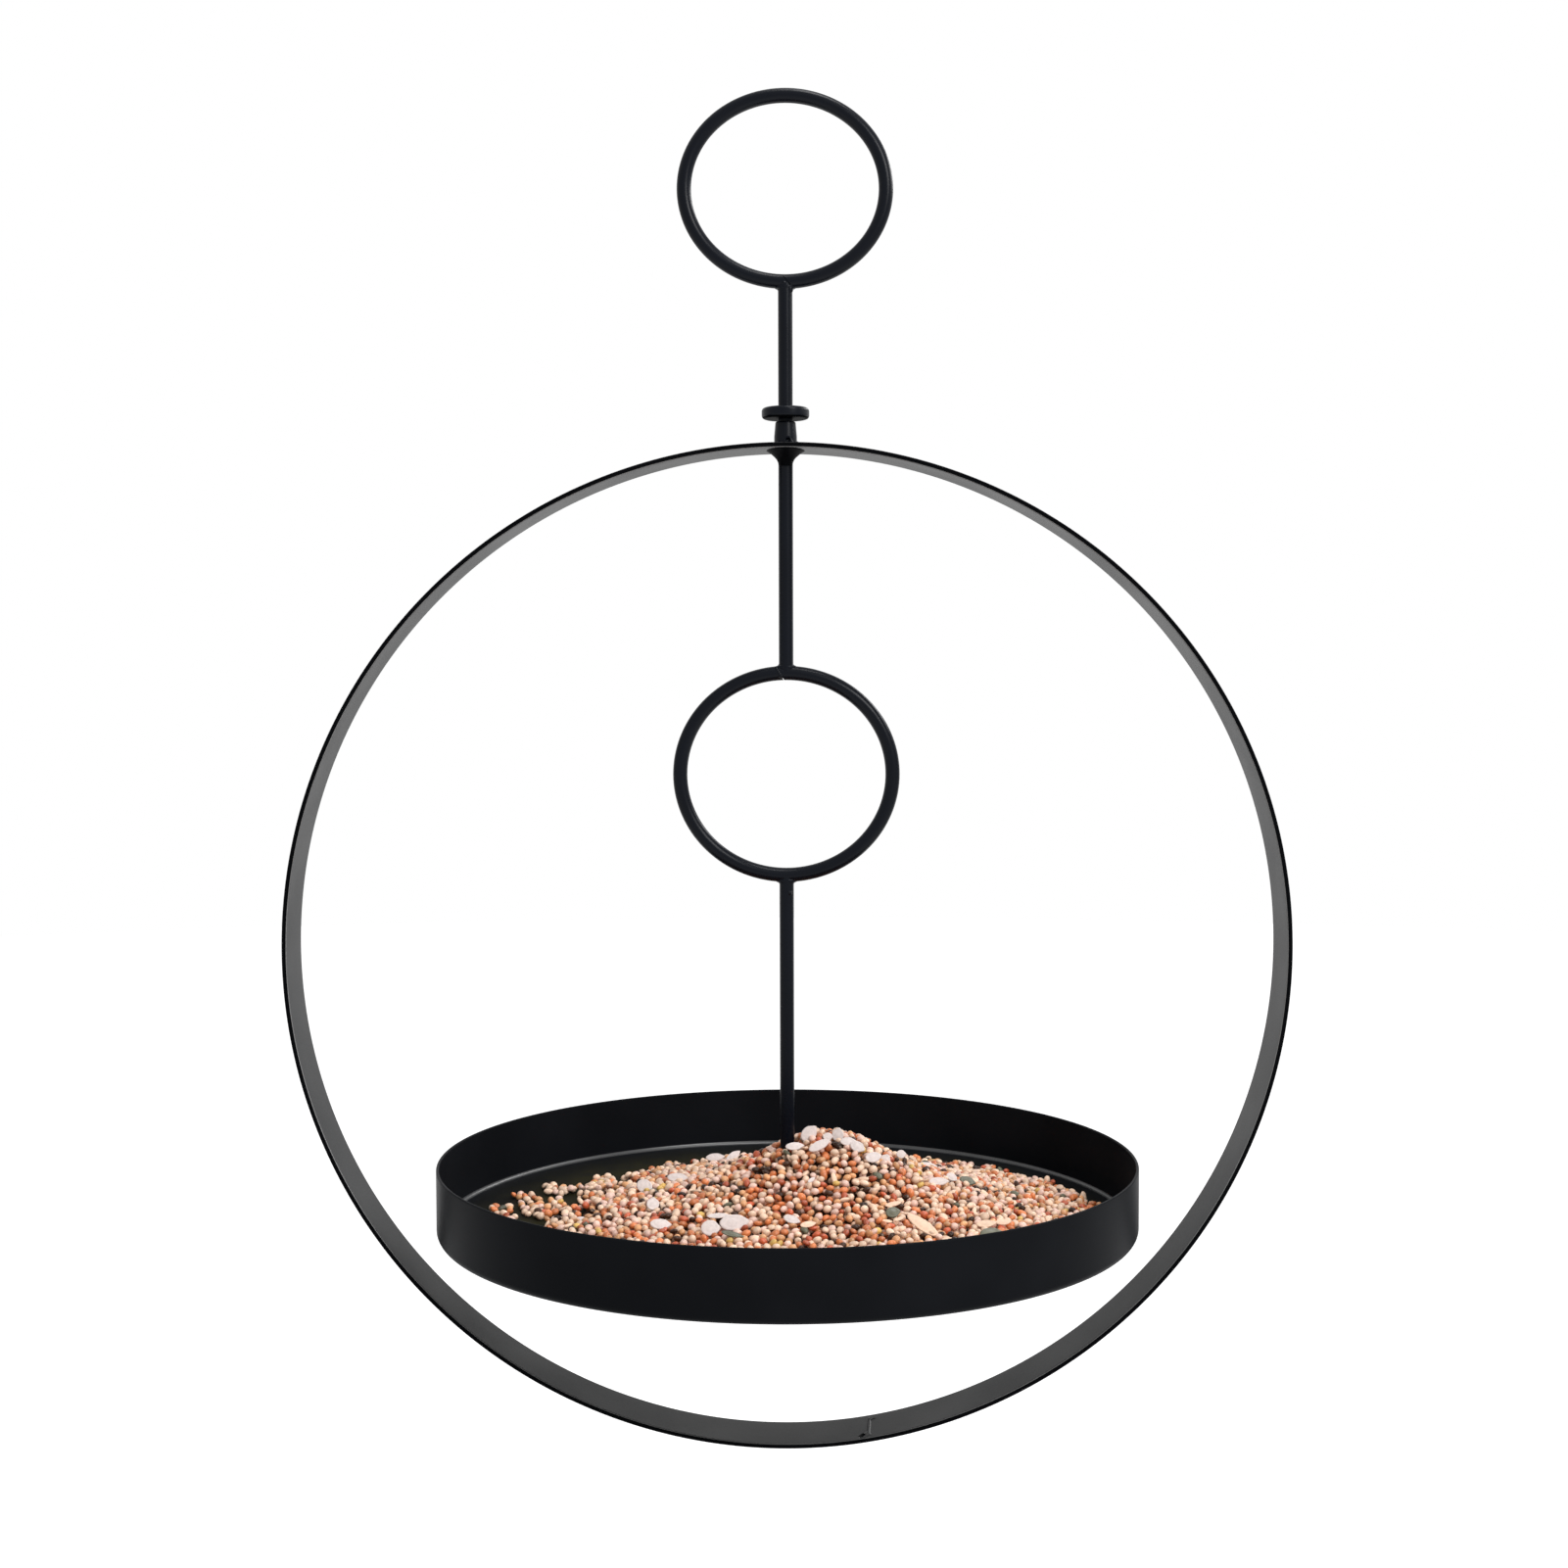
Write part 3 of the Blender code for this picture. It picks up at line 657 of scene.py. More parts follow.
class FEEDER_OT_finishes(bpy.types.Operator):
    """Mixes the powder coat, the zinc plate and the skins of the seeds"""

    bl_idname = "feeder.finishes"
    bl_label = "Finishes"

    def execute(self, context):
        coat = context.scene.feeder_coat
        seed = context.scene.feeder_seed
        tray = context.scene.feeder_tray
        powder = make_coat_group()
        for name, black, roughness, shine in (
            ("rod_coat", coat.rod_black, coat.rod_roughness, coat.rod_shine),
            ("strip_coat", coat.strip_black, coat.strip_roughness, coat.strip_shine),
            ("edge_coat", coat.edge_black, coat.strip_roughness, coat.edge_shine),
            # The bend and corner coats are lighter greys that paint highlights: along the pan's inner bend,
            # on the seam's weld and on the strip's rounded inner corners
            ("bend_coat", coat.bend_and_seam_highlight, coat.bend_roughness, coat.bend_shine),
            ("corner_coat", coat.corner_highlight_grey, coat.bend_roughness, coat.bend_shine),
        ):
            make_coat(name, black, roughness, shine, coat, powder)
        low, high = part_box("tray")
        make_pan_coat(coat, powder, make_dust_group(), low.z + tray.sheet, high.x - tray.corner_radius)
        make_zinc(coat)
        skin = make_grain_group()
        for name, (setting, *looks) in SKINS.items():
            make_seed_material(name, skin, getattr(seed, setting), *looks)
        return {"FINISHED"}


# Rings, rods and their welds


def rod_radius(ring_box):
    """A bent ring is as thick as its rod from front to back."""
    return (ring_box[1].y - ring_box[0].y) / 2


def bent_ring(box):
    """A rod bent to an oval: a circle of points drawn to the oval's shape and given the rod's thickness."""
    low, high = box
    radius = rod_radius(box)
    centre = middle(box)
    begin()
    bpy.ops.mesh.primitive_circle_add(vertices=RING_STEPS, radius=1, location=centre, rotation=UPRIGHT)
    bpy.ops.object.mode_set(mode="EDIT")
    bpy.ops.mesh.select_all(action="SELECT")
    halves = ((high.x - low.x) / 2 - radius, 1, (high.z - low.z) / 2 - radius)
    bpy.ops.transform.resize(value=halves, center_override=centre)
    return thickened(radius, ROD_SIDES)


def part_ends(ring, place, lean, gap, chamfer):
    """Parts a bent ring where its ends meet, closes each end and takes its sharp edge off.

    The ends' flat faces lean this many degrees from facing across.
    """
    angle = math.radians(lean)
    along = Vector((math.cos(angle), 0, math.sin(angle)))
    near = 5 * MM
    facing = 0.95

    def is_near(centre, normal):
        return (centre - place).length < near

    for side in (-1, 1):
        select_faces(ring, is_near)
        bpy.ops.mesh.bisect(plane_co=place + along * side * gap / 2, plane_no=along)
    select_faces(
        ring,
        lambda centre, normal: is_near(centre, normal) and abs((centre - place).dot(along)) < gap / 2,
    )
    bpy.ops.mesh.delete(type="FACE")
    bpy.ops.mesh.select_mode(type="EDGE")
    bpy.ops.mesh.select_non_manifold()
    bpy.ops.mesh.fill_holes(sides=0)
    close_up()
    select_faces(ring, lambda centre, normal: is_near(centre, normal) and abs(normal.dot(along)) > facing)
    bpy.ops.mesh.bevel(offset=chamfer, offset_type="OFFSET", segments=3, affect="EDGES")
    return close_up()


def ripple(piece, name, weld, middle_level):
    """Ripples a bead's skin, with the level of the noise that leaves it where it is."""
    texture = bpy.data.textures.new(f"{name}_ripples", "CLOUDS")
    texture.noise_scale = weld.ripple_size
    apply_modifier(
        piece,
        "ripples",
        "DISPLACE",
        texture=texture,
        texture_coords="GLOBAL",
        strength=weld.ripple,
        mid_level=middle_level,
    )


def melted(name, parts, weld, passes):
    """Joins shapes that overlap into one skin, ripples it like a bead and melts its corners."""
    bead = pick(*parts)
    bpy.ops.object.join()
    apply_modifier(bead, "skin", "REMESH", mode="VOXEL", voxel_size=weld.detail)
    ripple(bead, name, weld, 0.62)
    apply_modifier(bead, "melt", "SMOOTH", factor=0.5, iterations=passes)
    return bead


def ring_section(ring_box, joint, up, thinner, reach):
    """The stretch of a bent ring about a joint at its top or foot, a little thinner than the rod."""
    low, high = ring_box
    radius = rod_radius(ring_box)
    half_width = (high.x - low.x) / 2 - radius
    half_height = (high.z - low.z) / 2 - radius
    bend = half_width**2 / half_height
    centre = Vector((0, 0, joint + up * bend))
    begin()
    bpy.ops.mesh.primitive_torus_add(
        location=centre,
        rotation=UPRIGHT,
        major_segments=RING_STEPS,
        minor_segments=ROD_SIDES,
        major_radius=bend,
        minor_radius=radius - thinner,
    )
    section = bpy.context.object
    cuts = (
        ((1, 0, 0), (reach, 0, 0)),
        ((-1, 0, 0), (-reach, 0, 0)),
        ((0, 0, up), (0, 0, joint + up * bend)),
    )
    for normal, place in cuts:
        edit(section)
        bpy.ops.mesh.select_all(action="SELECT")
        bpy.ops.mesh.bisect(plane_co=place, plane_no=normal, use_fill=True, clear_outer=True)
        close_up()
    return section


def corner_fillet(radius, throat, skin, away):
    """The hollow bead in the corners of two crossed rods.

    It stands out at the sides and dies away front and back.
    """
    inside = skin - away * throat
    outside = skin + away * throat
    curve = []
    for step in range(ARC_STEPS + 1):
        angle = math.pi / 2 * step / ARC_STEPS
        out = throat * (1 - math.sin(angle))
        curve.append((radius + out, skin + away * throat * (1 - math.cos(angle))))
    fillet = turned([(0, inside), (radius + throat, inside), *curve, (0, outside)], ROD_SIDES)
    return stretched(fillet, (1, radius / (radius + throat), 1), (0, 0, skin))


def ball(place, radius):
    begin()
    bpy.ops.mesh.primitive_uv_sphere_add(segments=16, ring_count=10, radius=radius, location=place)
    return bpy.context.object


def ring_weld(name, weld, ring_box, on_top, lumps):
    """A bead between a bent ring and a rod's end, above the ring or below it.

    Each lump on it has its x and y, its rise above the ring's skin and its size.
    """
    radius = rod_radius(ring_box)
    away = 1 if on_top else -1
    joint = (ring_box[1].z if on_top else ring_box[0].z) - away * radius
    skin = joint + away * radius
    end = skin + away * 2 * weld.throat + away * 3 * MM
    thinner = (weld.notch + weld.sink) / 2
    middle_line = joint + away * (weld.notch - weld.sink) / 2
    parts = [
        ring_section(ring_box, middle_line, -away, thinner, weld.reach),
        rod(radius - weld.sink, max(joint, end), min(joint, end)),
        corner_fillet(radius, weld.throat, skin, away),
        *[ball((x, y, skin + away * rise), size) for x, y, rise, size in lumps],
    ]
    return melted(name, parts, weld, 5)


class FEEDER_OT_hanger(bpy.types.Operator):
    """Makes the hanging ring, its stem and weld, and the stop disc"""

    bl_idname = "feeder.hanger"
    bl_label = "Hanger"

    def execute(self, context):
        weld = context.scene.feeder_weld
        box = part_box("hanging_ring")
        radius = rod_radius(box)
        butt = Vector((0.5 * MM, 0, box[0].z + radius))
        ring = part_ends(bent_ring(box), butt, lean=40, gap=0.14 * MM, chamfer=1.0 * MM)
        coated(ring, "hanging_ring_rod", "hanger", "hanging_ring")
        lumps = [
            (1.5 * MM, -1.1 * MM, 0.6 * MM, 0.9 * MM),
            (-0.4 * MM, -0.95 * MM, -1.6 * MM, 1.35 * MM),
        ]
        bead = ring_weld("hanging_ring_bead", weld, box, False, lumps)
        welded(bead, "hanging_ring_bead", "hanger", "hanging_ring_weld")
        stem_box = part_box("hanger_stem")
        stem = rod(radius, box[0].z + radius, stem_box[0].z, 0.4 * MM)
        coated(stem, "hanger_stem_rod", "hanger", "hanger_stem")
        self.stop_disc(radius)
        return {"FINISHED"}

    def stop_disc(self, stem):
        """A round-edged disc, with the small fillet of coat that gathers where the stem goes through it."""
        low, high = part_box("stop_disc")
        edge = 1.05 * MM
        rim = high.x - edge
        fillet = 0.5 * MM
        bore = stem - 0.05 * MM
        outline = [
            (bore, low.z),
            (rim, low.z),
            *arc(rim, low.z + edge, edge, -90, 0),
            *arc(rim, high.z - edge, edge, 0, 90),
            *arc(stem + fillet, high.z + fillet, fillet, -90, -180),
            (bore, high.z + fillet),
        ]
        disc = coated(turned_ring(outline), "stop_disc_turned", "hanger", "stop_disc")
        second_coat(disc, "edge_coat", lambda centre, normal: normal.z < -0.5)


class FEEDER_OT_boss(bpy.types.Operator):
    """Makes the threaded boss on top of the hoop and the bead round its foot"""

    bl_idname = "feeder.boss"
    bl_label = "Boss"

    def execute(self, context):
        weld = context.scene.feeder_weld
        low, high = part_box("threaded_boss")
        foot = high.x
        top = foot - 0.35 * MM
        straight = 2.2 * MM
        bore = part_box("hanger_stem")[1].x - 0.02 * MM
        edge = 0.5 * MM
        outline = [
            (bore, low.z),
            (foot, low.z),
            (foot, low.z + straight),
            *arc(top - edge, high.z - edge, edge, 0, 90),
            (bore, high.z),
        ]
        sleeve = turned_ring(outline)
        self.pit = Vector((0.7 * MM, -foot, low.z + 0.95 * MM))
        combine(sleeve, ball(self.pit, 0.8 * MM), "DIFFERENCE")
        coated(sleeve, "boss_sleeve", "frame", "threaded_boss")
        welded(self.bead(weld, foot, low.z), "boss_bead", "frame", "boss_weld")
        return {"FINISHED"}

    def bead(self, weld, foot, height):
        """A low bead round the foot, and the raised lip of the pit that its gas left at the front."""
        spread = 0.55 * MM
        rise = 0.75 * MM
        inside = foot - 0.8 * MM
        sunk = height - 0.5 * MM
        outline = [
            (inside, sunk),
            (foot + spread, sunk),
            *arc(foot + spread, height + rise, rise, -90, -180),
            (inside, height + rise),
        ]
        parts = [turned_ring(outline, ROD_SIDES)]
        for angle, size in ((-125, 0.7), (-60, 0.8), (15, 0.9), (85, 1.0), (150, 0.8)):
            around = math.radians(angle)
            place = (foot * math.cos(around), foot * math.sin(around), height + 0.2 * MM)
            parts.append(ball(place, size * MM))
        begin()
        bpy.ops.mesh.primitive_torus_add(
            location=self.pit + Vector((0, 0.12 * MM, 0)),
            rotation=UPRIGHT,
            major_segments=24,
            minor_segments=10,
            major_radius=0.92 * MM,
            minor_radius=0.3 * MM,
        )
        parts.append(bpy.context.object)
        return melted("boss_bead", parts, weld, 4)


# Lines of the seam in mm, along the strip from the seam's middle and in from the front edge. The groove
# is where the strip's ends meet, askew at both edges, and the wedge is its wide start at the front
SEAM_LINES = {
    "groove": ((-2.6, 0.9), (-0.1, 5.2), (0.1, 5.6), (0.6, 13.2), (0.9, 16.6), (2.1, 17.4)),
    "wedge": ((-2.5, 1.6), (-0.7, 3.9)),
    "front": ((-2.4, 0.5), (-1.4, 1.1), (0.9, 2.0), (0.6, 4.0), (0.78, 6.5), (1.0, 9.6)),
    "back": ((0.98, 9.3), (1.2, 13.0), (1.1, 14.4), (2.0, 15.0), (3.2, 15.5)),
}


class FEEDER_OT_hoop(bpy.types.Operator):
    """Rolls the strip into a hoop and closes its seam"""

    bl_idname = "feeder.hoop"
    bl_label = "Hoop"

    def execute(self, context):
        hoop = context.scene.feeder_hoop
        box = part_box("hoop")
        self.outer = box[1].x - SNUG
        self.side = box[1].y
        self.centre = middle(box)
        strip = self.strip(hoop)
        self.to_seam = Matrix.Translation(self.centre) @ Matrix.Rotation(-hoop.seam_angle, 4, "Y")
        for line, radius in (("groove", hoop.groove), ("wedge", 3 * hoop.groove)):
            combine(strip, self.seam_tube(hoop, line, radius, radius), "DIFFERENCE")
        coated(strip, "hoop_strip", "frame", "hoop", "strip_coat")
        edge = self.side - 0.1 * MM
        inner = self.outer - hoop.thickness + hoop.edge_radius

        def on_cut_edge(centre, normal):
            return abs(normal.y) > 0.9 and abs(centre.y) > edge

        def on_inner_corner(centre, normal):
            return 0.2 < abs(normal.y) < 0.9 and self.reach(centre) < inner

        second_coat(strip, "edge_coat", on_cut_edge)
        # Painted highlight: the strip's rounded inner corners take the light grey corner coat, which paints
        # the bright line along them
        second_coat(strip, "corner_coat", on_inner_corner)
        # The seam's weld lines take the lighter bend coat, whose colour paints their highlight
        for side in ("front", "back"):
            bead = self.seam_tube(hoop, side, hoop.bead, hoop.proud)
            skin = melted(f"seam_{side}", [bead], context.scene.feeder_weld, 3)
            welded(skin, f"hoop_seam_bead_{side}", "frame", f"hoop_seam_weld_{side}", "bend_coat")
        return {"FINISHED"}

    def strip(self, hoop):
        radius = hoop.edge_radius
        outer = self.outer - radius
        inner = self.outer - hoop.thickness + radius
        side = self.side - radius
        corners = ((outer, -side, -90), (outer, side, 0), (inner, side, 90), (inner, -side, 180))
        outline = []
        for x, y, start in corners:
            outline += arc(x, y, radius, start, start + 90, ARC_STEPS // 2)
        return turned_ring(outline, HOOP_STEPS, self.centre, BACK)

    def reach(self, place):
        """How far a place lies from the hoop's axis."""
        return math.hypot(place.x - self.centre.x, place.z - self.centre.z)

    def seam_tube(self, hoop, line, radius, proud):
        """A round cord laid along a line on the inside of the strip, standing a little way out of it."""
        places = [(x * MM, y * MM - self.side) for x, y in SEAM_LINES[line]]
        height = -self.outer + hoop.thickness + proud - radius
        draw_line(places, ACROSS, BACK, UP * height)
        cord = thickened(radius, 8, closed_ends=True)
        bpy.ops.object.transform_apply(location=True, rotation=True, scale=True)
        cord.matrix_world = self.to_seam
        edit(cord)
        return close_up()


class FEEDER_OT_drops(bpy.types.Operator):
    """Makes the upper rod, the middle ring and the lower rod, with their welds"""

    bl_idname = "feeder.drops"
    bl_label = "Rods and middle ring"

    def execute(self, context):
        weld = context.scene.feeder_weld
        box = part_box("middle_ring")
        radius = rod_radius(box)
        top = box[1].z - radius
        foot = box[0].z + radius
        butt = Vector((-1.9 * MM, 0, top))
        ring = part_ends(bent_ring(box), butt, lean=30, gap=0.16 * MM, chamfer=0.6 * MM)
        coated(ring, "middle_ring_rod", "frame", "middle_ring")
        crease = [
            ((-3.0 + 0.35 * step) * MM, -(1.35 + 0.12 * step) * MM, -(0.8 + 0.55 * step) * MM, 0.72 * MM)
            for step in range(5)
        ]
        above = ring_weld("middle_ring_top_bead", weld, box, True, crease)
        welded(above, "middle_ring_top_bead", "frame", "middle_ring_top_weld")
        spatter = [(0.9 * MM, -1.6 * MM, 3.1 * MM, 0.75 * MM)]
        below = ring_weld("middle_ring_bottom_bead", weld, box, False, spatter)
        welded(below, "middle_ring_bottom_bead", "frame", "middle_ring_bottom_weld")
        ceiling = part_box("hoop")[1].z - context.scene.feeder_hoop.thickness
        coated(rod(radius, ceiling + 0.2 * MM, top), "upper_drop_rod", "frame", "upper_rod")
        fillet = self.hoop_fillet(weld, radius, ceiling)
        welded(fillet, "upper_rod_bead", "frame", "upper_rod_weld", "edge_coat")
        coated(self.lower_rod(radius, foot), "lower_drop_rod", "frame", "lower_rod")
        return {"FINISHED"}

    def hoop_fillet(self, weld, radius, ceiling):
        """The hollow cone of weld under the hoop, drawn down onto the rod."""
        low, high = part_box("upper_rod_weld")
        height = ceiling - low.z
        rim = high.x + 0.45 * MM
        sunk = 0.25 * MM
        inside = radius - 0.4 * MM
        foot = radius - 0.08 * MM
        hollow = 2.1
        along_strip = 1.58
        curve = []
        for step in range(TURN_STEPS // 4 + 1):
            up = step / TURN_STEPS * 4
            curve.append((foot + (rim - foot) * up**hollow, low.z + height * up))
        outline = [(inside, ceiling + sunk), (inside, low.z), *curve, (rim, ceiling + sunk)]
        bead = stretched(turned_ring(outline), (1, along_strip, 1), (0, 0, ceiling))
        ripple(bead, "upper_rod", weld, 0.5)
        return bead

    def lower_rod(self, radius, top):
        """The plain rod, stepped down to its thread, which is cut as a fine screw line."""
        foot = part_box("lower_rod")[0].z
        thread_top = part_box("tray_stop_nut")[1].z + 2.0 * MM
        root = radius - 0.35 * MM
        crest = radius - 0.1 * MM
        pitch = 0.7 * MM
        chamfer = 0.3 * MM
        turns = int((thread_top - foot - 0.6 * MM) / pitch)
        outline = [(0, top), (radius, top), (radius, thread_top + chamfer), (root, thread_top)]
        for step in range(turns):
            height = thread_top - step * pitch
            outline += [
                (crest, height - 0.45 * pitch),
                (crest, height - 0.6 * pitch),
                (root, height - pitch),
            ]
        outline += [(root, foot + chamfer), (root - chamfer, foot), (0, foot)]
        return turned(outline, ROD_SIDES)


# Tray and its clamp


class FEEDER_OT_tray(bpy.types.Operator):
    """Presses the pan"""

    bl_idname = "feeder.tray"
    bl_label = "Tray"

    def execute(self, context):
        tray = context.scene.feeder_tray
        low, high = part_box("tray")
        half_sheet = tray.sheet / 2
        wall = high.x - SNUG
        corner = wall - tray.corner_radius
        bend = low.z + tray.corner_radius
        floor = low.z + tray.sheet
        seat_edge = tray.seat_radius + tray.seat_depth
        outline = [
            (tray.hole_radius, low.z + tray.seat_depth),
            (tray.seat_radius, low.z + tray.seat_depth),
            (seat_edge, low.z),
            *arc(corner, bend, tray.corner_radius, -90, 0),
            *arc(wall - half_sheet, high.z - half_sheet, half_sheet, 0, 180),
            *arc(corner, bend, tray.corner_radius - tray.sheet, 0, -90),
            (seat_edge, floor),
            (tray.seat_radius, floor - tray.seat_depth),
            (tray.hole_radius, floor - tray.seat_depth),
        ]
        pan = turned_ring(outline, PAN_STEPS)
        finish(pan, "tray_pan", "pan_coat", "tray", ["tray"])
        top = bend + 0.2 * MM

        def in_bend(centre, normal):
            inward = normal.x * centre.x + normal.y * centre.y < 0
            return inward and floor < centre.z < top and 0.1 < normal.z < 0.98

        # Painted highlight: the pan's inner bend takes the lighter bend coat, which paints the bright line
        # along it
        second_coat(pan, "bend_coat", in_bend)
        return {"FINISHED"}


class FEEDER_OT_clamp(bpy.types.Operator):
    """Makes the nuts and washers that clamp the tray"""

    bl_idname = "feeder.clamp"
    bl_label = "Nuts and washers"

    def execute(self, context):
        bore = 2.1 * MM
        for side, body in (("top", "tray"), ("bottom", "bottom_washer")):
            node = f"tray_{side}_washer"
            plated(self.washer(node, bore), f"washer_{side}", body, node)
        plated(self.stop_nut(bore), "stop_nut", "frame", "tray_stop_nut")
        plated(self.cap_nut(bore), "cap_nut_domed", "cap_nut", "tray_cap_nut")
        return {"FINISHED"}

    def washer(self, node, bore):
        low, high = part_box(node)
        edge = 0.12 * MM
        hole = bore + 0.1 * MM
        outline = [
            (hole, low.z),
            *arc(high.x - edge, low.z + edge, edge, -90, 0, 3),
            *arc(high.x - edge, high.z - edge, edge, 0, 90, 3),
            (hole, high.z),
        ]
        return turned_ring(outline)

    def hexagon(self, flat, top, bottom):
        """A nut's six sides, with its corners turned off at both ends."""
        begin()
        bpy.ops.mesh.primitive_cylinder_add(
            vertices=6,
            radius=flat / math.cos(math.pi / 6),
            depth=top - bottom,
            location=(0, 0, (top + bottom) / 2),
            rotation=(0, 0, math.pi / 6),
        )
        nut = bpy.context.object
        face = flat * 0.97
        past_corner = flat * 1.25
        slope = 0.45 * MM
        blank = [
            (0, top),
            (face, top),
            (past_corner, top - slope),
            (past_corner, bottom + slope),
            (face, bottom),
            (0, bottom),
        ]
        return combine(nut, turned(blank), "INTERSECT")

    def bored(self, nut, bore, top, bottom):
        """Cuts the bore, with a small countersink at its mouth."""
        past = 1.0 * MM
        sink = 0.4 * MM
        outline = [
            (0, top + past),
            (bore + sink, top + past),
            (bore + sink, top),
            (bore, top - sink),
            (bore, bottom),
            (0, bottom),
        ]
        return combine(nut, turned(outline), "DIFFERENCE")

    def stop_nut(self, bore):
        low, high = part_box("tray_stop_nut")
        past = 1.0 * MM
        nut = self.hexagon(high.y, high.z, low.z)
        return self.bored(nut, bore, high.z, low.z - past)

    def cap_nut(self, bore):
        """Six sides with a dome below them, closed at the foot."""
        low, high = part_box("tray_cap_nut")
        side_height = 3.2 * MM
        dome_radius = 3.25 * MM
        dome_top = high.z - 0.5 * MM
        bore_depth = 5.6 * MM
        neck = low.z + dome_radius
        nut = self.hexagon(high.y, high.z, high.z - side_height)
        dome = [
            (0, dome_top),
            (dome_radius, dome_top),
            *arc(0, neck, dome_radius, 0, -90, 2 * ARC_STEPS),
        ]
        combine(nut, turned(dome), "UNION")
        return self.bored(nut, bore, high.z, high.z - bore_depth)


# Seed


class Pile:
    """Grains that have come to rest, kept by the square of the floor that they lie in."""

    def __init__(self, square):
        self.square = square
        self.squares = {}

    def add(self, x, y, z, radius):
        key = (math.floor(x / self.square), math.floor(y / self.square))
        self.squares.setdefault(key, []).append((x, y, z, radius))

    def near(self, x, y):
        column, row = math.floor(x / self.square), math.floor(y / self.square)
        for i in (column - 1, column, column + 1):
            for j in (row - 1, row, row + 1):
                yield from self.squares.get((i, j), ())

    def rest_height(self, x, y, radius, ground, nestle=0.93):
        """How high a round grain lies at a place: on the ground, or on the grains that it meets."""
        height = ground + radius
        for other_x, other_y, other_z, other_radius in self.near(x, y):
            reach = (radius + other_radius) * nestle
            apart = (x - other_x) ** 2 + (y - other_y) ** 2
            if apart < reach * reach:
                height = max(height, other_z + math.sqrt(reach * reach - apart))
        return height


def clamp(value, low=0.0, high=1.0):
    return min(high, max(low, value))


class Heap:
    """The shape of the heap over the tray's floor."""

    # The peak stands this far behind the rod, and the heap's middle this far to the right of it
    peak_back = 3 * MM
    middle_side = 6 * MM

    # The heap is narrower than its set width on the left, and wider on the right
    left_share = 0.93
    right_share = 1.03

    # Taken off the heap's height, so that its foot thins out to a single layer
    skirt = 1.4 * MM

    # How far out the seed lies, and how much less far towards the back, where the bare strip at the wall
    # is wider on the left than on the right by twice the slant
    edge = 97 * MM
    bare_back = 19.5 * MM
    slant = 6.5 * MM
    slant_reach = 30 * MM

    # Where the single layer on the left breaks up into clusters: the start and the width of the change,
    # and how much nearer the middle it lies for each length towards the back
    thin_start = 49 * MM
    thin_width = 7 * MM
    thin_lean = 0.41

    # How far in from the edge the seed gets sparser along the back, the size of a cluster, and the level
    # at which the noise that makes them is cut
    fringe = 16 * MM
    cluster_size = 7 * MM
    noise_level = 98.6 * MM

    # The tray can be let down by 3.5 mm, and the hollow in the heap still clears the nut then
    headroom = 3.8 * MM

    def __init__(self, seed, tray):
        low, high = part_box("tray")
        self.seed = seed
        self.floor = low.z + tray.sheet
        self.wall = high.x - tray.corner_radius
        self.clear_of_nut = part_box("tray_stop_nut")[1].z + self.headroom

    def rise(self, x, y):
        """Height of the heap over a single layer of grains."""
        seed = self.seed
        peak = ((x - seed.peak_side) ** 2 + (y - self.peak_back) ** 2) / seed.peak_width**2
        side = x - self.middle_side
        width = seed.heap_width * (self.left_share if side < 0 else self.right_share)
        broad = (side / width) ** 2 + (y / seed.heap_depth) ** 2
        height = seed.peak_height * math.exp(-peak) + seed.heap_height * math.exp(-broad)
        return max(0.0, height - self.skirt)

    def top(self, x, y):
        """Highest that a grain's top may be."""
        return self.floor + self.seed.grain + self.rise(x, y)

    def core(self, x, y):
        """Top of the heap's core, which loose grains lie on. Away from the heap it dips under the floor."""
        return self.floor + self.rise(x, y) + self.seed.grain - self.seed.layer

    def covered(self, x, y):
        """True where grains lie: all over the heap, in clusters on the left, none along the back wall."""
        distance = max(math.hypot(x, y), MM)
        back = max(0.0, y) / distance
        edge = self.edge - back * (self.bare_back - self.slant * clamp(x / self.slant_reach, -1.0))
        thin = clamp((-x + self.thin_lean * y - self.thin_start) / self.thin_width)
        near_edge = clamp((distance - edge + self.fringe) / self.fringe)
        fullness = 1.2 - 0.81 * thin - 0.68 * near_edge * (back > 0) * (1 - 0.75 * thin)
        cluster = 0.5 + 0.9 * field.noise(Vector((x, y, self.noise_level)) / self.cluster_size)
        return distance < edge and cluster < fullness


# The lots of loose seed: their share, a grain's width to the common one's, and its proportions
LOTS = {
    "cream_millet": dict(share=0.31, width=1.0, shape=(1.0, 1.12, 0.86)),
    "blush_millet": dict(share=0.18, width=0.97, shape=(1.0, 1.12, 0.86)),
    "tan_millet": dict(share=0.13, width=0.95, shape=(1.0, 1.16, 0.84)),
    "yellow_millet": dict(share=0.015, width=0.95, shape=(1.0, 1.12, 0.84)),
    "orange_millet": dict(share=0.17, width=0.95, shape=(1.0, 1.2, 0.84)),
    "red_millet": dict(share=0.08, width=0.92, shape=(1.0, 1.2, 0.82)),
    "brown_seed": dict(share=0.07, width=0.93, shape=(0.95, 1.25, 0.8)),
    "olive_seed": dict(share=0.008, width=1.1, shape=(0.9, 1.3, 0.7)),
    "pale_husk": dict(share=0.05, width=0.9, shape=(0.85, 1.65, 0.55)),
}

# The lots that lie thickest at the front of the heap
WARM_LOTS = ("orange_millet", "red_millet")
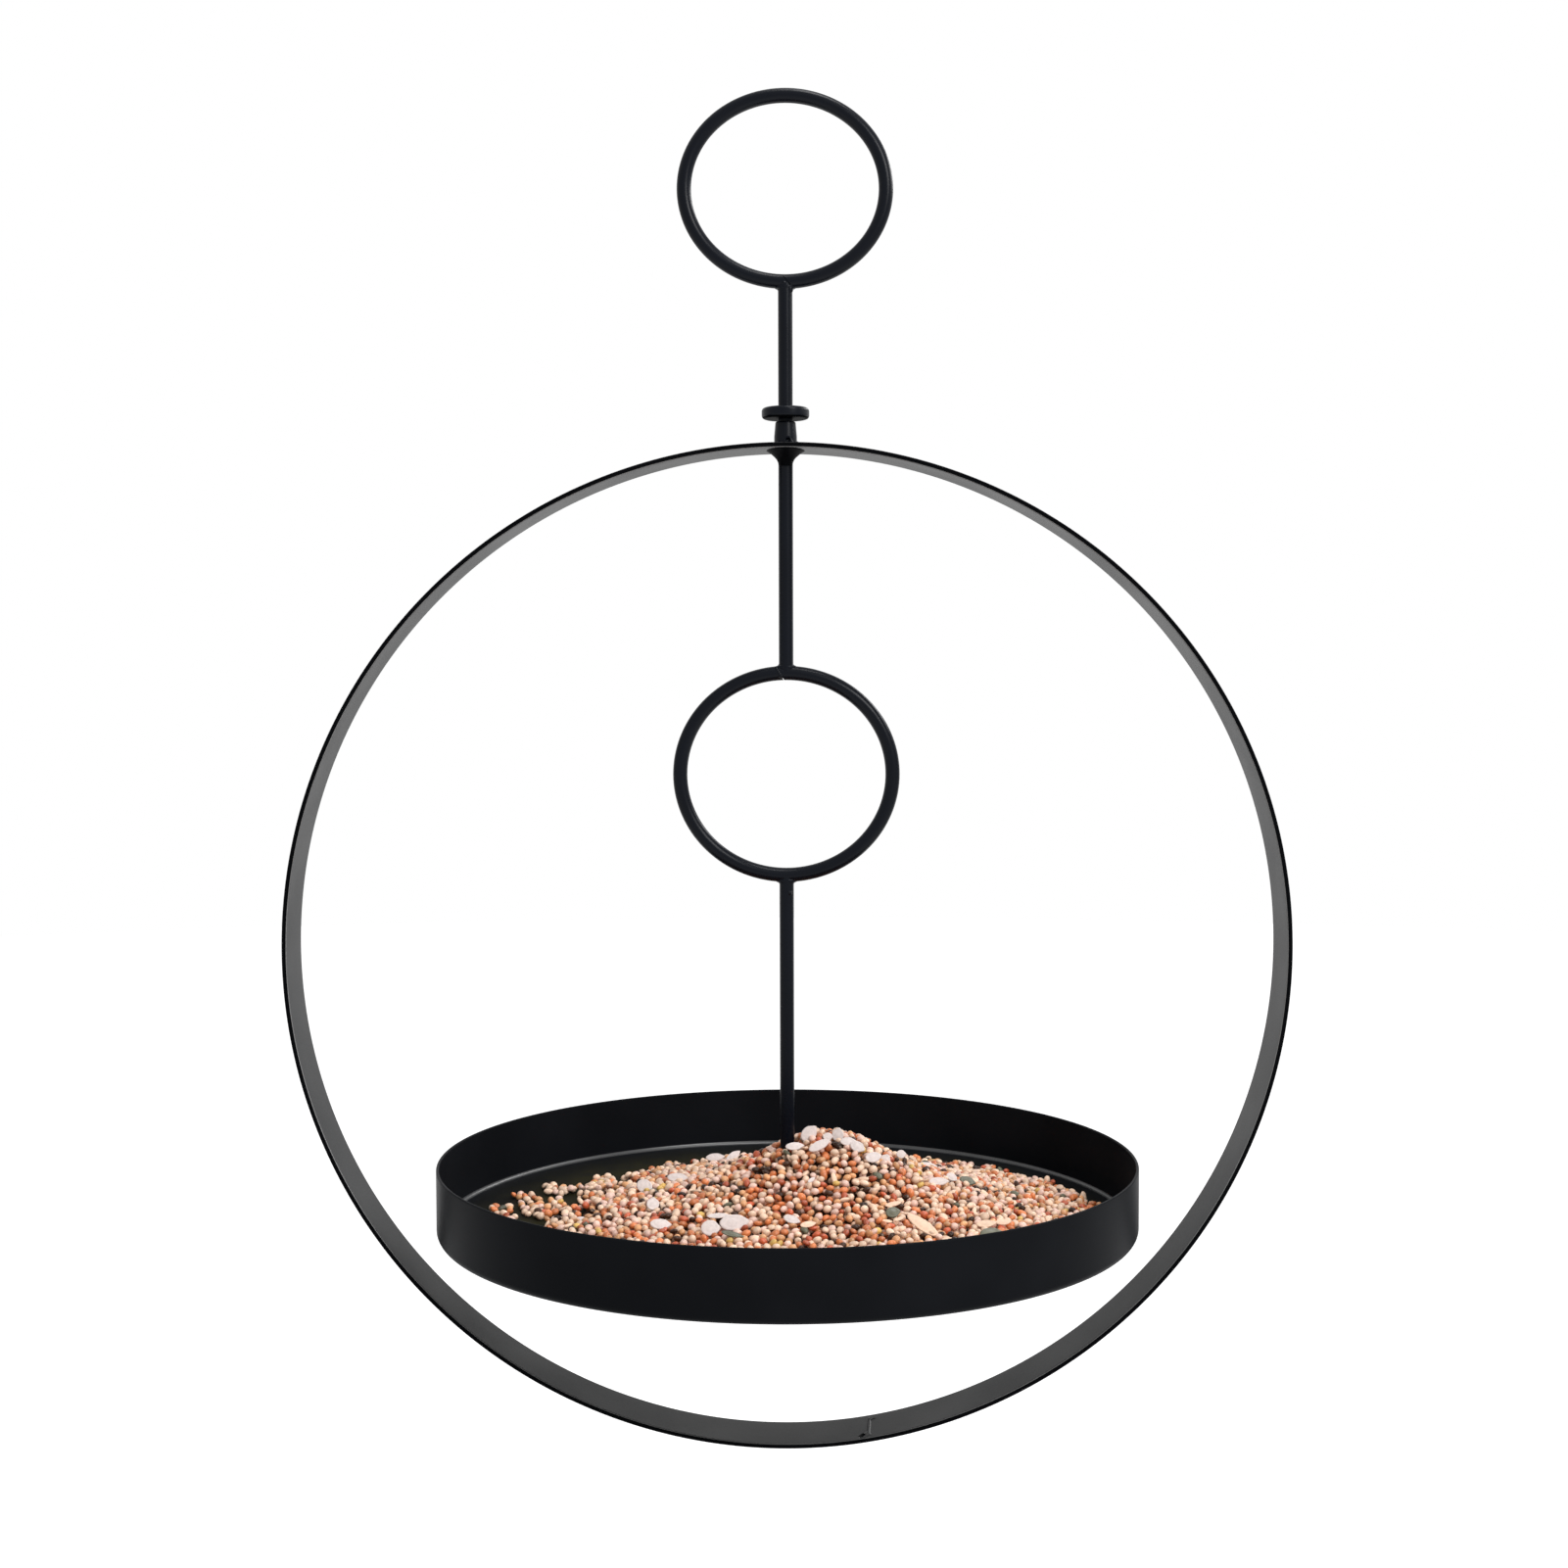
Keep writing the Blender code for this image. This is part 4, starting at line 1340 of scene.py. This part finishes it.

# Flat kernels on the heap, listed one by one: place in x and y, length and width in mm, then the
# turn of the long side and how far the kernel leans towards the front, in degrees
KERNELS = {
    "pale_kernel": (
        (-21.8, -42.1, 5.3, 4.9, 0, 50), (-15.2, -39.5, 8.2, 4.8, 5, 55), (-19.9, -34.5, 6.2, 1.8, 3, 40),
        (1.2, -40.9, 4.8, 2.6, -20, 45), (7.0, -22.6, 2.4, 1.2, 40, 45), (6.5, -1.3, 5.6, 4.2, 45, 70),
        (15.2, -2.3, 4.0, 3.6, 80, 75), (2.1, -6.8, 5.4, 2.6, 5, 50), (9.5, -9.4, 7.0, 3.0, 30, 50),
        (12.1, -5.2, 2.9, 2.4, 0, 60), (18.1, -6.5, 4.6, 2.8, 0, 50), (20.9, -8.1, 4.6, 3.5, -30, 50),
        (25.5, -10.6, 4.8, 3.5, 10, 50), (29.4, -4.4, 3.4, 3.2, 60, 60), (34.5, 2.3, 2.9, 2.7, 0, 60),
        (44.9, 43.4, 6.5, 2.8, -5, 40), (-24.0, 55.8, 6.0, 3.0, 5, 45), (-18.2, 60.7, 5.6, 2.8, 40, 50),
        (45.2, -6.1, 5.9, 2.8, 0, 45), (50.2, 6.6, 3.6, 2.6, -40, 45), (-34.1, 12.6, 6.2, 3.4, -3, 40),
        (-43.9, 9.4, 5.3, 4.4, -35, 50), (-39.7, -15.8, 4.0, 3.8, 90, 50), (-36.5, -32.6, 6.0, 3.4, -5, 45),
        (-61.5, -9.7, 4.7, 2.6, -5, 35),
    ),
    "cream_kernel": (
        (5.8, -43.7, 4.4, 2.0, 10, 45), (30.5, -29.6, 4.9, 1.6, 15, 40), (38.4, -41.2, 11.0, 3.4, -38, 50),
        (31.9, -37.8, 3.0, 1.1, 25, 40), (59.7, -1.8, 3.8, 1.5, -55, 45), (56.9, -33.3, 5.8, 2.4, 5, 45),
        (62.1, -29.8, 4.4, 2.0, 0, 45),
    ),
    "dark_kernel": (
        (-15.5, -47.2, 6.3, 1.8, -15, 40), (30.1, -34.9, 4.1, 3.4, 10, 50), (55.2, 9.5, 4.9, 3.0, -20, 45),
        (57.6, -39.2, 6.2, 3.6, 8, 50),
    ),
}


def nudge(piece, test, size, shift):
    """Draws the points that pass a test to a size about the middle, and shifts them."""
    edit(piece, "VERT")
    bpy.ops.object.mode_set(mode="OBJECT")
    for vertex in piece.data.vertices:
        vertex.select = test(vertex.co)
    bpy.ops.object.mode_set(mode="EDIT")
    bpy.ops.transform.resize(value=size, center_override=(0, 0, 0))
    bpy.ops.transform.translate(value=shift)
    bpy.ops.object.mode_set(mode="OBJECT")


def model_grain():
    """One millet grain: a ball drawn to a blunt tip."""
    begin()
    bpy.ops.mesh.primitive_uv_sphere_add(segments=10, ring_count=6, radius=1, rotation=(-math.pi / 2, 0, 0))
    bpy.ops.object.transform_apply(location=False, rotation=True, scale=False)
    grain = bpy.context.object
    nudge(grain, lambda place: place.y > 0.8, (0.8, 1, 0.8), (0, 0.08, 0))
    return grain


def model_kernel():
    """One flat kernel: a ball drawn to a point at one end, with a shallow hollow inside its margin."""
    begin()
    bpy.ops.mesh.primitive_uv_sphere_add(segments=24, ring_count=12, radius=1)
    kernel = bpy.context.object
    nudge(kernel, lambda place: place.y > 0.5, (0.82, 1, 1), (0, 0.05, 0))
    nudge(kernel, lambda place: place.y > 0.8, (0.7, 1, 1), (0, 0.08, 0))
    nudge(kernel, lambda place: place.z > 0.6, (1, 1, 1), (0, 0, -0.35))
    nudge(kernel, lambda place: place.z < -0.8, (1, 1, 1), (0, 0, 0.2))
    return kernel


def read_shape(piece):
    """A modelled shape's points and faces. The shape itself is thrown away."""
    points = np.array([vertex.co for vertex in piece.data.vertices])
    faces = [tuple(face.vertices) for face in piece.data.polygons]
    bpy.data.objects.remove(piece)
    return points, faces


def copies_in_one(name, points, faces, places, tones):
    """One mesh of many copies of a shape, each at its place with its own tone."""
    count = len(points)
    spots = [points @ np.array(place.to_3x3()).T + np.array(place.translation) for place in places]
    all_faces = []
    for first in range(0, count * len(places), count):
        all_faces += [tuple(first + corner for corner in face) for face in faces]
    mesh = bpy.data.meshes.new(name)
    mesh.from_pydata(np.concatenate(spots).tolist(), [], all_faces)
    mesh.shade_smooth()
    tone = mesh.attributes.new(TONE, "FLOAT", "POINT")
    tone.data.foreach_set("value", np.repeat(np.array(tones, np.float32), count))
    tip = mesh.attributes.new(TIP, "FLOAT", "POINT")
    spread = np.ptp(points[:, 1])
    along = np.clip((np.abs(points[:, 1] - points[:, 1].min()) / spread * 2 - 1) ** 3, 0, 1)
    tip.data.foreach_set("value", np.tile(along.astype(np.float32), len(places)))
    piece = bpy.data.objects.new(name, mesh)
    bpy.context.scene.collection.objects.link(piece)
    return piece


def place_seed(piece, name, material):
    piece.name = name
    piece.data.materials.append(bpy.data.materials[material])
    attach(piece, "tray")
    return piece


class FEEDER_OT_seed(bpy.types.Operator):
    """Lets the seed fall into the tray and heap up"""

    bl_idname = "feeder.seed"
    bl_label = "Seed"

    most_in_one = 2400
    times_fewer = 6

    def execute(self, context):
        self.seed = context.scene.feeder_seed
        self.heap = Heap(self.seed, context.scene.feeder_tray)
        self.draw = random.Random(self.seed.draw)
        self.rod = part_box("lower_rod")[1].x
        self.make_core()
        pile = self.let_fall()
        grain = read_shape(model_grain())
        for lot, grains in self.sort(pile).items():
            self.make_lot(lot, grains, *grain)
        kernel = read_shape(model_kernel())
        for lot, rows in KERNELS.items():
            places = [self.laid(pile, *row) for row in rows]
            tones = [self.draw.uniform(0.5, 1) for _ in rows]
            place_seed(copies_in_one(f"{lot}s", *kernel, places, tones), f"{lot}s", lot)
        return {"FINISHED"}

    def laid(self, pile, x, y, long, wide, heading, lean):
        """Where a flat kernel comes to lie on the grains."""
        x, y = x * MM, y * MM
        height = pile.rest_height(x, y, 0.8 * MM, self.heap.floor)
        leaning = Matrix.Rotation(math.radians(lean), 3, "X")
        facing = Matrix.Rotation(math.radians(heading - 90), 3, "Z")
        halves = Matrix.Diagonal([wide / 2 * MM, long / 2 * MM, min(0.6, 0.2 * wide) * MM])
        return Matrix.Translation((x, y, height)) @ (leaning @ facing @ halves).to_4x4()

    def make_core(self):
        """The heap's core under the loose grains, hollow at the middle for the nut and the rod."""
        heap = self.heap
        roof = heap.clear_of_nut
        nut_room = 6.5 * MM
        rod_room = self.rod + 0.5 * MM
        reach = 84 * MM
        steps = 42
        floor = heap.floor - 0.2 * MM
        flat_top = heap.floor + 1 * MM
        out = [rod_room + (reach - rod_room) * step / steps for step in range(steps + 1)]
        outline = [(x, flat_top) for x in out]
        outline += [(out[-1], floor), (nut_room, floor), (nut_room, roof), (rod_room, roof)]
        core = turned_ring(outline, 96)
        for vertex in core.data.vertices:
            place = core.matrix_world @ vertex.co
            if abs(place.z - flat_top) < 0.1 * MM:
                height = max(heap.core(place.x, place.y), floor + 0.05 * MM)
                vertex.co.z += height - place.z
        pick(core)
        bpy.ops.object.transform_apply(location=True, rotation=True, scale=True)
        bpy.ops.object.shade_smooth()
        place_seed(core, "heap_core", "heap_core")

    def allowed(self, x, y, z, radius):
        """True clear of the rod, the nut and the tray's wall, also when the tray is let down."""
        distance = math.hypot(x, y)
        rod_gap = 0.25 * MM
        nut_corner = 5.2 * MM
        if distance < self.rod + radius + rod_gap or distance > self.heap.wall - radius * 0.6:
            return False
        return distance > nut_corner + radius or z - radius > self.heap.clear_of_nut

    def let_fall(self):
        """Drops the grains one by one. Each rolls to the lowest of a few places near where it falls."""
        seed, heap, draw = self.seed, self.heap, self.draw
        pile = Pile(seed.grain * 1.3)
        tries = seed.tries // 1
        rolls = 5
        span = heap.wall
        for _ in range(tries):
            x, y = draw.uniform(-span, span), draw.uniform(-span, span)
            radius = seed.grain / 2 * draw.uniform(0.88, 1.1)
            if not heap.covered(x, y):
                continue
            best = None
            for _ in range(rolls):
                side, back = x + draw.uniform(-1, 1) * radius, y + draw.uniform(-1, 1) * radius
                ground = max(heap.floor, heap.core(side, back))
                height = pile.rest_height(side, back, radius, ground)
                if best is None or height < best[2]:
                    best = (side, back, height)
            if best[2] + radius * 0.7 < heap.top(best[0], best[1]) and self.allowed(*best, radius):
                pile.add(*best, radius)
        return pile

    def sort(self, pile):
        """Deals the grains out to the lots, with more of the warm ones at the front of the heap."""
        lots = {name: [] for name in LOTS}
        front = 35 * MM
        warm_reach = 50 * MM
        for grains in pile.squares.values():
            for grain in grains:
                distance = math.hypot(grain[0], grain[1] + front)
                warm = math.exp(-((distance / warm_reach) ** 2))
                weights = [
                    lot["share"] * (0.75 + 0.75 * warm if name in WARM_LOTS else 1)
                    for name, lot in LOTS.items()
                ]
                lots[self.draw.choices(list(LOTS), weights)[0]].append(grain)
        return lots

    def make_lot(self, lot, grains, points, faces):
        """The grains of one lot, in as many pieces as keep each one light."""
        looks = LOTS[lot]
        draw = self.draw
        tilt = 0.5
        pieces = math.ceil(len(grains) / self.most_in_one)
        for index in range(pieces):
            places, tones = [], []
            for x, y, z, radius in grains[index::pieces]:
                lying = Matrix.Rotation(draw.uniform(0, math.tau), 3, "Z")
                nodding = Matrix.Rotation(draw.gauss(0, tilt), 3, "X")
                rolling = Matrix.Rotation(draw.gauss(0, tilt), 3, "Y")
                size = radius * looks["width"]
                stretch = Matrix.Diagonal([size * side * draw.uniform(0.84, 1.12) for side in looks["shape"]])
                shape = lying @ (nodding @ rolling) @ stretch
                places.append(Matrix.Translation((x, y, z)) @ shape.to_4x4())
                tones.append(draw.random())
            name = lot if pieces == 1 else f"{lot}_{index + 1}"
            piece = copies_in_one(name, points, faces, places, tones)
            place_seed(piece, name, lot)


# Stage

# The soft lamps, each with its place, its width and its height in metres
LAMPS = {
    "key": ((0.85, -1.1, 0.6), 0.55, 0.55),
    "top": ((0.2, -0.15, 0.95), 0.4, 0.4),
    "side": ((0.85, 0.5, 0.35), 1.3, 0.22),
}


def camera_turn(stage):
    return (
        Matrix.Rotation(-stage.yaw, 4, "Z")
        @ Matrix.Rotation(math.pi / 2 + stage.pitch, 4, "X")
        @ Matrix.Rotation(stage.roll, 4, "Z")
    )


def add_lamp(name, place, target, power, wide, high):
    begin()
    bpy.ops.object.light_add(type="AREA", location=place)
    lamp = bpy.context.object
    lamp.name = name
    lamp.data.energy = power
    lamp.data.shape = "RECTANGLE"
    lamp.data.size = wide
    lamp.data.size_y = high
    lamp.rotation_euler = (Vector(target) - Vector(place)).to_track_quat("-Z", "Y").to_euler()
    lamp.visible_camera = False


def background_rays(tree):
    """1 for the rays that show the background: camera, glossy and transmission rays."""
    path = tree.nodes.new("ShaderNodeLightPath").outputs
    seen = sum_of(tree, path["Is Camera Ray"], path["Is Glossy Ray"])
    settings = {"operation": "ADD", "use_clamp": True}
    through = path["Is Transmission Ray"]
    return add_node(tree, "ShaderNodeMath", settings, _0=seen, _1=through).outputs[0]


class FEEDER_OT_stage(bpy.types.Operator):
    """Sets the pale floor, the soft light and the camera"""

    bl_idname = "feeder.stage"
    bl_label = "Stage"

    def execute(self, context):
        stage = context.scene.feeder_stage
        self.floor(stage)
        self.sky(context, stage)
        target = middle(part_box("hoop"))
        for name, (place, wide, high) in LAMPS.items():
            add_lamp(f"{name}_lamp", place, target, getattr(stage, name), wide, high)
        self.camera(context, stage)
        context.scene.view_settings.view_transform = "Standard"
        return {"FINISHED"}

    def floor(self, stage):
        begin()
        bpy.ops.mesh.primitive_circle_add(
            vertices=128, radius=stage.floor_radius, fill_type="NGON", location=(0, 0, stage.floor_height)
        )
        floor = bpy.context.object
        floor.name = "studio_floor"
        bpy.ops.object.transform_apply(location=True, rotation=True, scale=True)
        material = bpy.data.materials.new("studio_white")
        material.use_nodes = True
        tree = material.node_tree
        shader = tree.nodes["Principled BSDF"]
        glow = sum_of(tree, background_rays(tree), 0.75, "MULTIPLY")
        feed(
            tree,
            shader,
            Base_Color=(0.82, 0.82, 0.82, 1),
            Roughness=0.9,
            Specular_IOR_Level=0.0,
            Emission_Color=(1, 1, 1, 1),
            Emission_Strength=glow,
        )
        floor.data.materials.append(material)

    def sky(self, context, stage):
        world = bpy.data.worlds.new("white_surround")
        context.scene.world = world
        world.use_nodes = True
        tree = world.node_tree
        strength = remap(tree, background_rays(tree), 0, 1, stage.sky, 1)
        feed(tree, tree.nodes["Background"], Color=(1, 1, 1, 1), Strength=strength)

    def camera(self, context, stage):
        begin()
        bpy.ops.object.camera_add(location=stage.eye)
        camera = bpy.context.object
        camera.name = "photo_camera"
        camera.matrix_world = Matrix.Translation(stage.eye) @ camera_turn(stage)
        camera.data.sensor_width = 36
        camera.data.lens = 36 * stage.focal_pixels / stage.frame_pixels
        camera.data.clip_start = 10 * MM
        context.scene.camera = camera


class FEEDER_PT_panel(bpy.types.Panel):
    """Lists the feeder's pieces, with the sizes and colours that they read"""

    bl_idname = "FEEDER_PT_panel"
    bl_label = "Ring bird feeder"
    bl_space_type = "VIEW_3D"
    bl_region_type = "UI"
    bl_category = "Feeder"

    def draw(self, context):
        for name, _ in SETTINGS:
            group = getattr(context.scene, name)
            box = self.layout.box()
            for key in group.__annotations__:
                box.prop(group, key)
        for operator in OPERATORS:
            self.layout.operator(operator.bl_idname)


SETTINGS = (
    ("feeder_coat", CoatSettings),
    ("feeder_weld", WeldSettings),
    ("feeder_hoop", HoopSettings),
    ("feeder_tray", TraySettings),
    ("feeder_seed", SeedSettings),
    ("feeder_stage", StageSettings),
)

OPERATORS = (
    FEEDER_OT_finishes,
    FEEDER_OT_hanger,
    FEEDER_OT_boss,
    FEEDER_OT_hoop,
    FEEDER_OT_drops,
    FEEDER_OT_tray,
    FEEDER_OT_clamp,
    FEEDER_OT_seed,
    FEEDER_OT_stage,
)


def register():
    for name, group in SETTINGS:
        bpy.utils.register_class(group)
        setattr(bpy.types.Scene, name, PointerProperty(type=group))
    for operator in OPERATORS:
        bpy.utils.register_class(operator)
    bpy.utils.register_class(FEEDER_PT_panel)


def unregister():
    bpy.utils.unregister_class(FEEDER_PT_panel)
    for operator in reversed(OPERATORS):
        bpy.utils.unregister_class(operator)
    for name, group in reversed(SETTINGS):
        delattr(bpy.types.Scene, name)
        bpy.utils.unregister_class(group)


def main():
    register()
    for operator in OPERATORS:
        area, name = operator.bl_idname.split(".")
        getattr(getattr(bpy.ops, area), name)()


if __name__ == "__main__":
    main()
